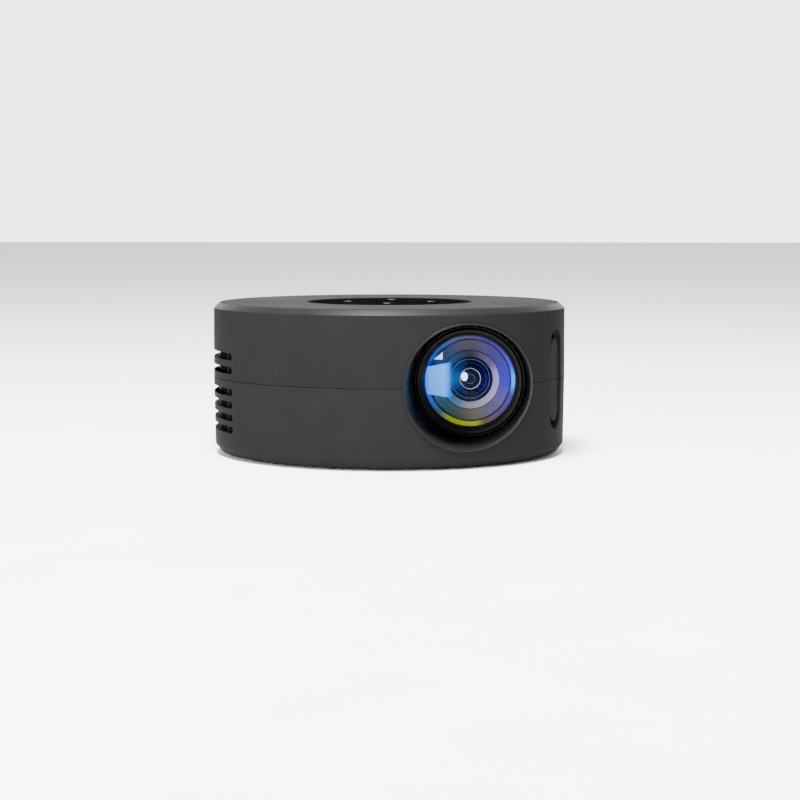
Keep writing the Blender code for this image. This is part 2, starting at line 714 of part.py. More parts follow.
def make_focus_ring(material):
    profile = [
        (RING_INNER_RADIUS, RING_FRONT),
        (RING_ROOT_RADIUS, RING_FRONT),
        (RING_ROOT_RADIUS, RING_BACK),
        (BARREL_REAR_RADIUS + GAP, RING_BACK),
        (BARREL_REAR_RADIUS + GAP, BARREL_STEP - FOCUS_TRAVEL - GAP),
        (RING_INNER_RADIUS, BARREL_STEP - FOCUS_TRAVEL - GAP),
    ]
    ring = lens_piece("focus_ring", profile, material)
    teeth = bpy.data.meshes.new("ring_teeth")
    shape = bmesh.new()
    depth = RING_TIP_RADIUS - RING_ROOT_RADIUS + 0.2 * MM
    out = Matrix.Translation((RING_TIP_RADIUS - depth / 2, -RING_FRONT + RING_GRIP / 2, 0))
    size = Matrix.Diagonal((depth, RING_GRIP, RING_TOOTH_WIDTH, 1))
    for tooth in range(RING_TEETH):
        turn = Matrix.Rotation(2 * math.pi * tooth / RING_TEETH, 4, "Y")
        bmesh.ops.create_cube(shape, size=1.0, matrix=turn @ out @ size)
    shape.to_mesh(teeth)
    shape.free()
    comb = place(bpy.data.objects.new("ring_teeth", teeth), None)
    comb.location = LENS_ORIGIN
    join(ring, comb)


def make_barrel(material):
    """A stepped tube: a cup for the front lens, a throat for the baffle and a rear lip."""
    cup, throat, bore, lip = 14.1 * MM, 12.0 * MM, 11.2 * MM, 10.4 * MM
    cup_back = BARREL_STEP + 1.2 * MM
    lip_front = BARREL_BACK + 1.0 * MM
    throat_back = BAFFLE_BACK - GAP
    profile = [
        (cup, BARREL_FRONT),
        (BARREL_FRONT_RADIUS, BARREL_FRONT),
        (BARREL_FRONT_RADIUS, BARREL_STEP),
        (BARREL_REAR_RADIUS, BARREL_STEP),
        (BARREL_REAR_RADIUS, BARREL_BACK),
        (lip, BARREL_BACK),
        (lip, lip_front),
        (bore, lip_front),
        (bore, throat_back),
        (throat, throat_back),
        (throat, cup_back),
        (cup, cup_back),
    ]
    lens_piece("lens_barrel", profile, material)


def make_retainer(material):
    """A ring that holds the front lens, with a face that slopes in to the glass."""
    mouth, outer, eye = 13.7 * MM, 13.9 * MM, GLASS_RADIUS - 0.1 * MM
    front, back = BARREL_FRONT - 0.3 * MM, BARREL_FRONT - 3.0 * MM
    profile = [(mouth, front), (outer, front), (outer, back), (eye, back), (eye, back + 0.5 * MM)]
    lens_piece("lens_retainer", profile, material, steps=40)


def glass_disc(name, radius, front, edge, bulge_front, bulge_back, material, steps=4):
    """A lens element: front and back faces are arcs that rise from the rim by their bulge."""

    def face(height, bulge, order):
        reach = [radius * step / steps for step in order]
        return [(r, height + bulge * (1 - (r / radius) ** 2)) for r in reach]

    profile = face(front, bulge_front, range(steps + 1))
    profile += face(front - edge, -bulge_back, range(steps, -1, -1))
    lens_piece(name, profile, material, closed=False, steps=32)


def make_glass(material):
    """Three elements in the barrel and one in the engine, from front to back."""
    elements = {
        # radius, front rim, edge thickness, front bulge and back bulge, in millimetres
        "front_lens": (13.8, 24.1, 1.6, 2.6, -0.5),
        "middle_lens": (10.8, 16.0, 2.4, 1.2, -1.0),
        "rear_lens": (10.8, 7.2, 1.6, 0.6, 1.0),
        "condenser_lens": (12.6, -16.6, 1.6, 2.2, 0.0),
    }
    for name, sizes in elements.items():
        glass_disc(name, *(size * MM for size in sizes), material)


def make_baffle(material):
    """A dished ring behind the front lens, which frames the middle lens."""
    rim, eye, front = 11.7 * MM, 6.6 * MM, BARREL_STEP + 0.9 * MM
    profile = [
        (rim - 0.6 * MM, front),
        (rim, front),
        (rim, BAFFLE_BACK),
        (eye, BAFFLE_BACK),
        (eye, BAFFLE_BACK + 1.0 * MM),
    ]
    lens_piece("lens_baffle", profile, material, steps=40)


def make_lens_mount(material):
    """A flanged sleeve on the engine's front. Its flange is flat on top, where it passes the key board."""
    inner, back, front = BARREL_REAR_RADIUS + GAP, -ENGINE_Y[0] + GAP, RING_BACK - 0.4 * MM
    profile = [
        (inner, front),
        (MOUNT_RADIUS, front),
        (MOUNT_RADIUS, MOUNT_FLANGE_FRONT),
        (MOUNT_FLANGE_RADIUS, MOUNT_FLANGE_FRONT),
        (MOUNT_FLANGE_RADIUS, back),
        (inner, back),
    ]
    mount = lens_piece("lens_mount", profile, material)
    low = (LENS_X - MOUNT_RADIUS, -MOUNT_RADIUS, ENGINE_Z[1])
    cut(mount, block("mount_flat", low, (LENS_X + MOUNT_RADIUS, MOUNT_RADIUS, ABOVE)))


def optic(name, half_width, half_height, near, far, material):
    """An upright sheet across the light path."""
    low = (LENS_X - half_width, near, LENS_Z - half_height)
    return block(name, low, (LENS_X + half_width, far, LENS_Z + half_height), material)


def make_engine(looks):
    """A box behind the lens: sheets and display across the light path, then the condenser and the LED."""
    near, far = ENGINE_Y
    left, right = LENS_X - ENGINE_HALF_WIDTH, LENS_X + ENGINE_HALF_WIDTH
    low, high = ENGINE_Z[0], ENGINE_Z[1] - ENGINE_COVER - GAP
    wall = ENGINE_WALL
    housing = block("engine_housing", (left, near, low), (right, far, high), looks["frame"])
    inside = (left + wall, near + wall, low + wall), (right - wall, far + 5 * MM, high + 5 * MM)
    cut(housing, block("engine_inside", *inside))
    cut(housing, lens_rod("engine_mouth", -5 * MM, 9 * MM, ENGINE_MOUTH_RADIUS))
    block("engine_cover", (left, near, high + GAP), (right, far, ENGINE_Z[1]), looks["frame"])
    reach_x, reach_z = ENGINE_HALF_WIDTH - wall - GAP, high - LENS_Z - 0.6 * MM
    optic("front_fresnel", reach_x, reach_z, 4.0 * MM, 5.4 * MM, looks["acrylic"])
    frame = optic("lcd_frame", reach_x, reach_z, 7.0 * MM, 8.6 * MM, looks["frame"])
    cut(frame, optic("lcd_window", 11.6 * MM, 9.6 * MM, 0, 15 * MM, None))
    optic("lcd_panel", 13.0 * MM, 11.0 * MM, 8.9 * MM, 10.5 * MM, looks["screen"])
    optic("rear_fresnel", reach_x, reach_z, 12.0 * MM, 13.4 * MM, looks["acrylic"])
    front, back, thickness = -19.2 * MM, -26.6 * MM, 0.8 * MM
    mouth, root = 12.6 * MM, 7.6 * MM
    cup = [(mouth, front), (mouth + thickness, front), (root + thickness, back), (root, back)]
    lens_piece("reflector", cup, looks["mirror"], steps=40)
    optic("led_chip", 5.0 * MM, 5.0 * MM, 25.8 * MM, 27.0 * MM, looks["led"])
    optic("led_board", 13.0 * MM, 13.0 * MM, 27.3 * MM, 28.8 * MM, looks["aluminium"])


def make_heat_sink(material):
    """A comb seen from above: a base plate with upright fins."""
    (left, right), (base, tip) = SINK_X, SINK_Y
    root = base + SINK_BASE
    pitch = (right - left - SINK_FIN) / (SINK_FINS - 1)
    fins = []
    for number in range(SINK_FINS):
        x = left + number * pitch
        fins += [(x, root), (x, tip), (x + SINK_FIN, tip), (x + SINK_FIN, root)]
    outline = [(right, base), (left, base), *fins[1:-1]]
    plate("heat_sink", outline, LENS_Z - SINK_HALF_HEIGHT, LENS_Z + SINK_HALF_HEIGHT, material)


# ---------------------------------------------------------------- fan, boards, sockets and speaker


def fan_rod(name, back, front, radius, material=None, steps=32):
    """A cylinder on the fan's axis."""
    return rod(name, (back, 0, FAN_Z), (front, 0, FAN_Z), radius, material, steps)


def make_fan_frame(material):
    """A square frame with a round bore, and a motor plate on three struts across its front."""
    half = FAN_SIDE / 2
    back, front = FAN_X
    frame = block("fan_frame", (back, -half, FAN_Z - half), (front, half, FAN_Z + half), material)
    cut(frame, fan_rod("fan_bore", back - 5 * MM, front + 5 * MM, FAN_BORE_RADIUS, steps=48))
    join(frame, fan_rod("motor_plate", front - MOTOR_PLATE, front, FAN_HUB_RADIUS))
    reach = half - 0.6 * MM
    near = (front - MOTOR_PLATE + 0.1 * MM, -reach, -STRUT_HALF_WIDTH)
    far = (front - 0.1 * MM, reach, STRUT_HALF_WIDTH)
    for number in range(STRUTS):
        strut = block(f"strut_{number}", near, far)
        strut.location.z = FAN_Z
        strut.rotation_euler = (math.radians(180 / STRUTS * number + 30), 0, 0)
        join(frame, strut)


def make_fan_rotor(material):
    """A hub with flat blades set at a pitch round it."""
    back, front = FAN_X[0] + 0.6 * MM, FAN_X[1] - MOTOR_PLATE - GAP
    rotor = fan_rod("fan_rotor", back, front, FAN_HUB_RADIUS, material)
    root = FAN_HUB_RADIUS - 1 * MM
    near = (-BLADE_HALF_THICKNESS, root, -BLADE_HALF_WIDTH)
    far = (BLADE_HALF_THICKNESS, FAN_TIP_RADIUS, BLADE_HALF_WIDTH)
    middle = Matrix.Translation(((back + front) / 2, 0, FAN_Z))
    out = Matrix.Translation((0, (root + FAN_TIP_RADIUS) / 2, 0))
    tilt = Matrix.Rotation(math.radians(90 - FAN_PITCH), 4, "Y")
    for number in range(FAN_BLADES):
        blade = block(f"blade_{number}", near, far)
        turn = Matrix.Rotation(2 * math.pi * number / FAN_BLADES, 4, "X")
        blade.matrix_world = middle @ turn @ out @ tilt
        join(rotor, blade)


def make_main_board(looks):
    """The main board with its screws, chip and capacitor. A tab at the back carries the sockets."""
    outline = [(-34, -8), (5, -8), (5, 37.4), (12.8, 37.4)]
    outline += [(12.8, 46.3), (-17.4, 46.3), (-17.4, 31), (-34, 31)]
    low, high = BOARD_Z
    board = plate("main_board", [(x * MM, y * MM) for x, y in outline], low, high, looks["board"])
    cut(board, drums("board_holes", BOARD_POSTS, SMALL_PILOT_RADIUS, low - 1 * MM, high + 1 * MM, steps=12))
    top = high + FINE_GAP
    tip = FLOOR_Z + 1 * MM
    for number, spot in enumerate(BOARD_POSTS, 1):
        name = f"board_screw_{number}"
        screw = drums(name, [spot], SMALL_HEAD_RADIUS, top, top + SMALL_HEAD_HEIGHT, looks["steel"])
        join(screw, drums(f"{name}_shaft", [spot], SMALL_SHAFT_RADIUS, tip, top + 0.3 * MM, steps=10))
    block("main_chip", (-19 * MM, 8 * MM, top), (-6 * MM, 21 * MM, top + 1.4 * MM), looks["chip"], 0.2 * MM)
    drums("power_capacitor", [(-28 * MM, 2.5 * MM)], 3.0 * MM, top, top + 7 * MM, looks["aluminium"])


def make_socket(name, x, size, wall, tongue, metal):
    """A pressed metal socket with a tongue inside, open at the back of the projector."""
    width, height, depth = size
    half = width / 2
    back, top = PORT_MOUTH_Y - depth, SOCKET_Z + height
    socket = block(name, (x - half, back, SOCKET_Z), (x + half, PORT_MOUTH_Y, top), metal)
    low = (x - half + wall, back + 1 * MM, SOCKET_Z + wall)
    high = (x + half - wall, PORT_MOUTH_Y + 5 * MM, top - wall)
    cut(socket, block(f"{name}_cavity", low, high))
    middle = SOCKET_Z + height * 0.58
    reach = half - wall - 0.6 * MM
    low = (x - reach, back + 0.5 * MM, middle - tongue / 2)
    high = (x + reach, PORT_MOUTH_Y - 1 * MM, middle + tongue / 2)
    join(socket, block(f"{name}_tongue", low, high))


def make_jack(material):
    """A block with a round collar and bore for a headphone plug."""
    front = PORT_FACE_Y - PORT_WALL - GAP
    low = (JACK_X - JACK_HALF_WIDTH, JACK_BACK, SOCKET_Z)
    high = (JACK_X + JACK_HALF_WIDTH, front, JACK_Z + JACK_HALF_WIDTH - 0.4 * MM)
    jack = block("audio_jack", low, high, material)
    mouth = (JACK_X, PORT_MOUTH_Y, JACK_Z)
    join(jack, rod("jack_collar", (JACK_X, front - 1 * MM, JACK_Z), mouth, JACK_RADIUS, steps=24))
    start, end = (JACK_X, JACK_BACK + 1.5 * MM, JACK_Z), (JACK_X, PORT_MOUTH_Y + 5 * MM, JACK_Z)
    cut(jack, rod("jack_bore", start, end, JACK_BORE_RADIUS, steps=24))


def make_speaker(frame_material, cone_material):
    """A basket that opens downwards over the grille, and a cone inside it."""
    low, high = FLOOR_Z + FINE_GAP, FLOOR_Z + SPEAKER_HEIGHT
    origin = (*SPEAKER, 0)
    neck, wall = 6 * MM, 1 * MM
    basket = [
        (0, high),
        (neck, high),
        (SPEAKER_RADIUS, low + 2.4 * MM),
        (SPEAKER_RADIUS, low),
        (SPEAKER_RADIUS - wall, low),
        (SPEAKER_RADIUS - wall, low + 1.9 * MM),
        (neck - 0.4 * MM, high - wall),
        (0, high - wall),
    ]
    turned("speaker_frame", basket, frame_material, 28, origin)
    rim, cap = SPEAKER_RADIUS - SPEAKER_RIM, 3.6 * MM
    cone = [
        (0, low + 2.2 * MM),
        (cap, low + 2.9 * MM),
        (rim, low + 1.5 * MM),
        (rim, low + 1.1 * MM),
        (cap, low + 2.4 * MM),
        (0, low + 1.2 * MM),
    ]
    turned("speaker_cone", cone, cone_material, 28, origin)


def make_leads(material):
    """Flexible leads inside the case, each from its device to the main board."""
    top = BOARD_Z[1] / MM + 0.9
    # routes in millimetres, which end just above the board
    routes = {
        "fan_lead": ((-36.4, 6, 14), (-35.2, 6, 13.2), (-33.6, 6, 11.4), (-31.6, 6.4, top), (-29, 7, top)),
        "speaker_lead": ((-10, -18, 9.6), (-10, -14, 11.4), (-10, -9, 11.6), (-10, -5, 10.6), (-10, -2, top)),
    }
    for name, route in routes.items():
        tube(name, [Vector(point) * MM for point in route], LEAD_RADIUS, material)


def make_ribbon(material):
    """A flat flexible lead that steps down from the display to the main board."""
    upper = [(7.4, 12.4), (6.6, 12.4), (2.6, 10.2), (-1.4, 10.2)]
    lower = [(-1.4, 9.9), (2.7, 9.9), (6.7, 12.1), (7.4, 12.1)]
    ribbon = plate("lcd_ribbon", [(x * MM, z * MM) for x, z in upper + lower], -6 * MM, 6 * MM, material)
    ribbon.rotation_euler = (math.radians(90), 0, 0)
    ribbon.location = (0, 12 * MM, 0)


def main():
    clear_scene()
    new_collection(PARTS)
    new_collection(CUTTERS)
    looks = {
        "shell": look("charcoal_plastic", (0.045, 0.045, 0.047), 0.55),
        "bezel": look("black_plastic", (0.02, 0.02, 0.021), 0.4),
        "panel": look("gloss_black_plastic", (0.008, 0.008, 0.009), 0.2),
        "frame": look("dark_grey_plastic", (0.03, 0.03, 0.032), 0.6),
        "glass": look("coated_glass", (0.35, 0.45, 0.9), 0.03, alpha=0.5),
        "acrylic": look("clear_acrylic", (0.85, 0.88, 0.9), 0.1, alpha=0.4),
        "screen": look("display_glass", (0.05, 0.06, 0.08), 0.1),
        "mirror": look("polished_reflector", (0.9, 0.9, 0.92), 0.08, 1.0),
        "led": look("led_phosphor", (0.9, 0.75, 0.25), 0.5),
        "aluminium": look("aluminium", (0.75, 0.76, 0.78), 0.35, 1.0),
        "steel": look("black_steel", (0.25, 0.25, 0.26), 0.35, 1.0),
        "port": look("plated_steel", (0.7, 0.7, 0.72), 0.25, 1.0),
        "board": look("green_circuit_board", (0.02, 0.16, 0.06), 0.4),
        "chip": look("chip_resin", (0.02, 0.02, 0.022), 0.5),
        "rubber": look("black_rubber", (0.025, 0.025, 0.025), 0.8),
        "fan": look("fan_plastic", (0.05, 0.05, 0.055), 0.45),
        "cone": look("speaker_paper", (0.06, 0.055, 0.05), 0.9),
        "lead": look("red_lead", (0.6, 0.03, 0.02), 0.5),
        "ribbon": look("polyimide_ribbon", (0.65, 0.32, 0.06), 0.35),
    }
    make_upper_shell(looks["shell"])
    make_lower_shell(looks["shell"])
    make_bezel(looks["bezel"])
    make_feet(looks["rubber"])
    make_case_screws(looks["steel"])
    make_panel(looks["panel"])
    make_keys(looks["panel"])
    make_key_board(looks["board"], looks["steel"])
    make_focus_ring(looks["bezel"])
    make_barrel(looks["bezel"])
    make_retainer(looks["bezel"])
    make_glass(looks["glass"])
    make_baffle(looks["bezel"])
    make_lens_mount(looks["frame"])
    make_engine(looks)
    make_heat_sink(looks["aluminium"])
    make_fan_frame(looks["frame"])
    make_fan_rotor(looks["fan"])
    make_main_board(looks)
    usb, power = (USB_WIDTH, USB_HEIGHT, USB_DEPTH), (POWER_WIDTH, POWER_HEIGHT, POWER_DEPTH)
    make_socket("usb_socket", USB_X, usb, 0.45 * MM, 1.8 * MM, looks["port"])
    make_socket("power_socket", POWER_X, power, 0.35 * MM, 0.6 * MM, looks["port"])
    make_jack(looks["bezel"])
    make_speaker(looks["frame"], looks["cone"])
    make_leads(looks["lead"])
    make_ribbon(looks["ribbon"])


main()
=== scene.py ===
"""The looks of a palm-sized home projector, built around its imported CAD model."""

import json
import math

import bmesh
import bpy
from mathutils import Matrix, Vector

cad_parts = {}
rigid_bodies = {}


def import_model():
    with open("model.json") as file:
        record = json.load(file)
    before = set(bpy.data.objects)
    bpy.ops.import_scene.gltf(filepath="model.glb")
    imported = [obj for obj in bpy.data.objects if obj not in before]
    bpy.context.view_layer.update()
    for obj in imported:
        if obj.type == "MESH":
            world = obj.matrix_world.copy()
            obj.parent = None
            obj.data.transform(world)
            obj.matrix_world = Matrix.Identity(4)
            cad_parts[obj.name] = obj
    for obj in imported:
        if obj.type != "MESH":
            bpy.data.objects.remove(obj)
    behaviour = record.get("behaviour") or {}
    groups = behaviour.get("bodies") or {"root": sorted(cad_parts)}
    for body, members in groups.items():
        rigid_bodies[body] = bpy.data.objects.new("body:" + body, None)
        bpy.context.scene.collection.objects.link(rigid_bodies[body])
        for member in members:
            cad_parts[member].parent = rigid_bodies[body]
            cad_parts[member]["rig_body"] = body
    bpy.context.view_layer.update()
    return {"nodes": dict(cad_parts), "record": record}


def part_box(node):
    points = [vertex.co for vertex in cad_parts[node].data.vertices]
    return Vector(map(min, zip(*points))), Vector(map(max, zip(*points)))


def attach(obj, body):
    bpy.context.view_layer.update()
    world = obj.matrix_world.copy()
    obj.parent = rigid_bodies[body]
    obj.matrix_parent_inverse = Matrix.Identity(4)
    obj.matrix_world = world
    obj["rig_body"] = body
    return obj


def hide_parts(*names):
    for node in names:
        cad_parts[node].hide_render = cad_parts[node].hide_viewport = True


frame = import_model()

MM = 0.001
UP = Vector((0, 0, 1))

# ---------------------------------------------------------------- sizes from the CAD

shell_low, shell_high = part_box("lower_shell")
RADIUS = (shell_high.x - shell_low.x) / 2
BASE_Z = shell_low.z
TOP_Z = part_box("upper_shell")[1].z
SEAM_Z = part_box("upper_shell")[0].z - 0.15 * MM
bezel_low, bezel_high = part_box("lens_bezel")
LENS = Vector(((bezel_low.x + bezel_high.x) / 2, 0, (bezel_low.z + bezel_high.z) / 2))
BEZEL_RADIUS = (bezel_high.x - bezel_low.x) / 2
LENS_PLACE = Matrix.Translation(LENS) @ Matrix.Rotation(math.radians(90), 4, "X")
jack_low, jack_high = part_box("audio_jack")
JACK_MIDDLE = Vector(((jack_low.x + jack_high.x) / 2, 0, 12.4 * MM))
JACK_PLACE = Matrix.Translation(JACK_MIDDLE) @ Matrix.Rotation(math.radians(-90), 4, "X")
SLOT_OFFSETS = (6.9, 2.9, -3.4, -7.1, -10.8, -14.3)
STRAP_ANGLE = -19.0
REAR_ANGLE = 36.0
FOOT_REACH = 27
SPEAKER = (-9, -27)
BOSSES = [(-25.0, -36.5), (-25.0, 36.5), (20.5, 42.0), (45.8, 9.0)]
SLOT_OF = {row["node"]: row["material_slot"] for row in frame["record"]["subparts"]}
BODY_OF = {name: shape["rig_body"] for name, shape in frame["nodes"].items()}


# ---------------------------------------------------------------- shapes


def outward(angle):
    return Vector((math.cos(math.radians(angle)), math.sin(math.radians(angle)), 0))


def fillets(corners, closed=False, steps=4):
    """Corners as (a, b) or (a, b, radius), with an arc in place of each corner that has a radius."""
    points = []
    count = len(corners)
    for index, corner in enumerate(corners):
        here = Vector(corner[:2])
        radius = corner[2] if len(corner) > 2 else 0
        if not radius or (not closed and index in (0, count - 1)):
            points.append(here)
            continue
        before = (Vector(corners[index - 1][:2]) - here).normalized()
        after = (Vector(corners[(index + 1) % count][:2]) - here).normalized()
        half = before.angle(after) / 2
        centre = here + (before + after).normalized() * radius / math.sin(half)
        start = here + before * radius / math.tan(half) - centre
        end = here + after * radius / math.tan(half) - centre
        turn = start.angle(end)
        for step in range(steps + 1):
            share = step / steps
            mixed = start * math.sin((1 - share) * turn) + end * math.sin(share * turn)
            points.append(centre + mixed / math.sin(turn))
    return points


def scaled(corners, unit=MM):
    return [tuple(value * unit for value in corner) for corner in corners]


def skin(name, loops, joined=False, place=None):
    """A closed body through loops of points. A loop of one point is a pole. An open end gets a flat face."""
    shape = bmesh.new()
    rings = [[shape.verts.new(point) for point in loop] for loop in loops]
    pairs = list(zip(rings, rings[1:])) + ([(rings[-1], rings[0])] if joined else [])
    for first, second in pairs:
        count = max(len(first), len(second))
        for step in range(count):
            after = (step + 1) % count
            corners = [first[step % len(first)], first[after % len(first)]]
            corners += [second[after % len(second)], second[step % len(second)]]
            shape.faces.new(list(dict.fromkeys(corners)))
    if not joined:
        for ring in (rings[0], rings[-1]):
            if len(ring) > 2:
                shape.faces.new(ring)
    bmesh.ops.recalc_face_normals(shape, faces=shape.faces)
    mesh = bpy.data.meshes.new(name)
    shape.to_mesh(mesh)
    shape.free()
    if place is not None:
        mesh.transform(place)
    piece = bpy.data.objects.new(name, mesh)
    bpy.context.scene.collection.objects.link(piece)
    return piece


def circle(radius, height, steps):
    if radius < 1e-9:
        return [(0, 0, height)]
    turns = [2 * math.pi * step / steps for step in range(steps)]
    return [(radius * math.cos(turn), radius * math.sin(turn), height) for turn in turns]


def turned(name, profile, steps=96, place=None):
    """A profile of (radius, height) turned about Z. One that starts off the axis makes a ring."""
    loops = [circle(radius, height, steps) for radius, height in profile]
    return skin(name, loops, joined=profile[0][0] > 1e-9, place=place)


def at(x, y):
    """A place on the floor plane, in millimetres from the middle."""
    return Matrix.Translation((x * MM, y * MM, 0))


def under_middle(low, high):
    return Matrix.Translation(((low.x + high.x) / 2, (low.y + high.y) / 2, 0))


def drum(name, radius, low, high, steps=48, place=None):
    return turned(name, [(0, low), (radius, low), (radius, high), (0, high)], steps, place)


def raised(name, levels):
    """A body through (outline, height) levels. All the outlines have the same number of points."""
    return skin(name, [[(x, y, height) for x, y in outline] for outline, height in levels])


def prism(name, outline, low, high, edge=0.0):
    """A flat outline raised from one height to another, with its edges rounded."""
    piece = raised(name, [(outline, low), (outline, high)])
    if edge:
        soften(piece, edge)
    return piece


def block(name, low, high, edge=0.0):
    (x0, y0, z0), (x1, y1, z1) = low, high
    return prism(name, [(x0, y0), (x1, y0), (x1, y1), (x0, y1)], z0, z1, edge)


def rectangle(left, low, right, high, corner):
    """Corners for fillets, anticlockwise from the lower left."""
    return [(left, low, corner), (right, low, corner), (right, high, corner), (left, high, corner)]


def settle(piece):
    """Makes the piece's modifiers part of its mesh."""
    graph = bpy.context.evaluated_depsgraph_get()
    mesh = bpy.data.meshes.new_from_object(piece.evaluated_get(graph))
    piece.modifiers.clear()
    piece.data = mesh
    return piece


def soften(piece, width, segments=3, angle=50):
    edge = piece.modifiers.new("edge", "BEVEL")
    edge.width = width
    edge.segments = segments
    edge.limit_method = "ANGLE"
    edge.angle_limit = math.radians(angle)
    return settle(piece)


def boolean(piece, operation, others):
    for other in others:
        step = piece.modifiers.new(operation.lower(), "BOOLEAN")
        step.operation = operation
        step.solver = "MANIFOLD"
        step.object = other
    settle(piece)
    for other in others:
        bpy.data.objects.remove(other, do_unlink=True)
    return piece


def cut(piece, *others):
    return boolean(piece, "DIFFERENCE", others)


def join(piece, *others):
    return boolean(piece, "UNION", others)


def wrapped(name, length, width, layers, angle, upright=False, straight=1):
    """A round-ended slot shape, laid on the drum.

    Each layer is (growth, radius), and its points lie on that radius.
    """
    out = outward(angle)
    along = UP.cross(out)

    def on_drum(across, height, radius):
        return out * math.sqrt(radius * radius - across * across) + along * across + UP * (height + SEAM_Z)

    def upper_edge(growth):
        reach, half = (length - width) / 2, width / 2 + growth
        turns = [math.radians(turn) for turn in (87, 75, 60, 45, 30, 15, 0)]
        near = [(-reach - half * math.sin(turn), half * math.cos(turn)) for turn in turns]
        middle = [(-reach + 2 * reach * step / straight, half) for step in range(1, straight)]
        return near + middle + [(-a, b) for a, b in reversed(near)]

    loops = []
    for growth, radius in layers:
        edge = upper_edge(growth)
        edge += [(a, -b) for a, b in reversed(edge)]
        loops.append([on_drum(b, a, radius) if upright else on_drum(a, b, radius) for a, b in edge])
    return skin(name, loops)


def lip(depth=0.25 * MM, reach=1.5 * MM, steps=4):
    """Layers that round a slot's edge where it meets the drum."""
    turns = [math.pi / 2 * step / steps for step in range(steps + 1)]
    layers = [(depth * (1 - math.cos(turn)), RADIUS - depth * (1 - math.sin(turn))) for turn in turns]
    return layers + [(depth * 1.1, RADIUS + reach)]


# ---------------------------------------------------------------- shader building


def add(tree, kind, settings=None, **sockets):
    made = tree.nodes.new("ShaderNode" + kind)
    for key, value in (settings or {}).items():
        setattr(made, key, value)
    for key, value in sockets.items():
        fill(tree, made.inputs[key.replace("_", " ")], value)
    return made


def fill(tree, socket, value):
    if isinstance(value, bpy.types.NodeSocket):
        tree.links.new(value, socket)
    else:
        socket.default_value = value


def maths(tree, operation, *values):
    made = tree.nodes.new("ShaderNodeMath")
    made.operation = operation
    for socket, value in zip(made.inputs, values):
        fill(tree, socket, value)
    return made.outputs[0]


def spread(tree, value, low, high, new_low, new_high):
    made = add(tree, "MapRange", Value=value, From_Min=low, From_Max=high, To_Min=new_low, To_Max=new_high)
    return made.outputs[0]


def blend(tree, factor, first, second):
    made = tree.nodes.new("ShaderNodeMix")
    made.data_type = "RGBA"
    for index, value in ((0, factor), (6, first), (7, second)):
        fill(tree, made.inputs[index], value)
    return made.outputs[2]


def tone(red, green=None, blue=None):
    """A linear colour from display values of 0 to 255."""
    values = (red, red, red) if green is None else (red, green, blue)
    return (*[(value / 255) ** 2.2 for value in values], 1.0)


def ramp(tree, factor, stops, mode="LINEAR"):
    made = add(tree, "ValToRGB", Fac=factor)
    made.color_ramp.interpolation = mode
    line = made.color_ramp.elements
    line[0].position, line[0].color = stops[0]
    line[1].position, line[1].color = stops[-1]
    for position, colour in stops[1:-1]:
        line.new(position).color = colour
    return made.outputs[0]


def noise(tree, place, scale, detail=3.0, roughness=0.55):
    made = add(tree, "TexNoise", Vector=place, Scale=scale, Detail=detail, Roughness=roughness)
    return made.outputs["Fac"]


def start(name):
    """Returns (material, tree, shader, the piece's own coordinates)."""
    material = bpy.data.materials.new(name)
    material.use_nodes = True
    tree = material.node_tree
    place = tree.nodes.new("ShaderNodeTexCoord").outputs["Object"]
    return material, tree, tree.nodes["Principled BSDF"], place


def edge_mask(tree):
    """Returns a mask that is 1 on an edge and 0 away from edges, and the rounded normal."""
    smooth = add(tree, "Bevel", {"samples": 4}, Radius=EDGE_WIDTH).outputs[0]
    plain = tree.nodes.new("ShaderNodeNewGeometry").outputs["Normal"]
    made = add(tree, "VectorMath", {"operation": "DOT_PRODUCT"})
    fill(tree, made.inputs[0], smooth)
    fill(tree, made.inputs[1], plain)
    return spread(tree, made.outputs["Value"], 1.0, 0.9, 0.0, 1.0), smooth


EDGE_WIDTH = 0.25 * MM


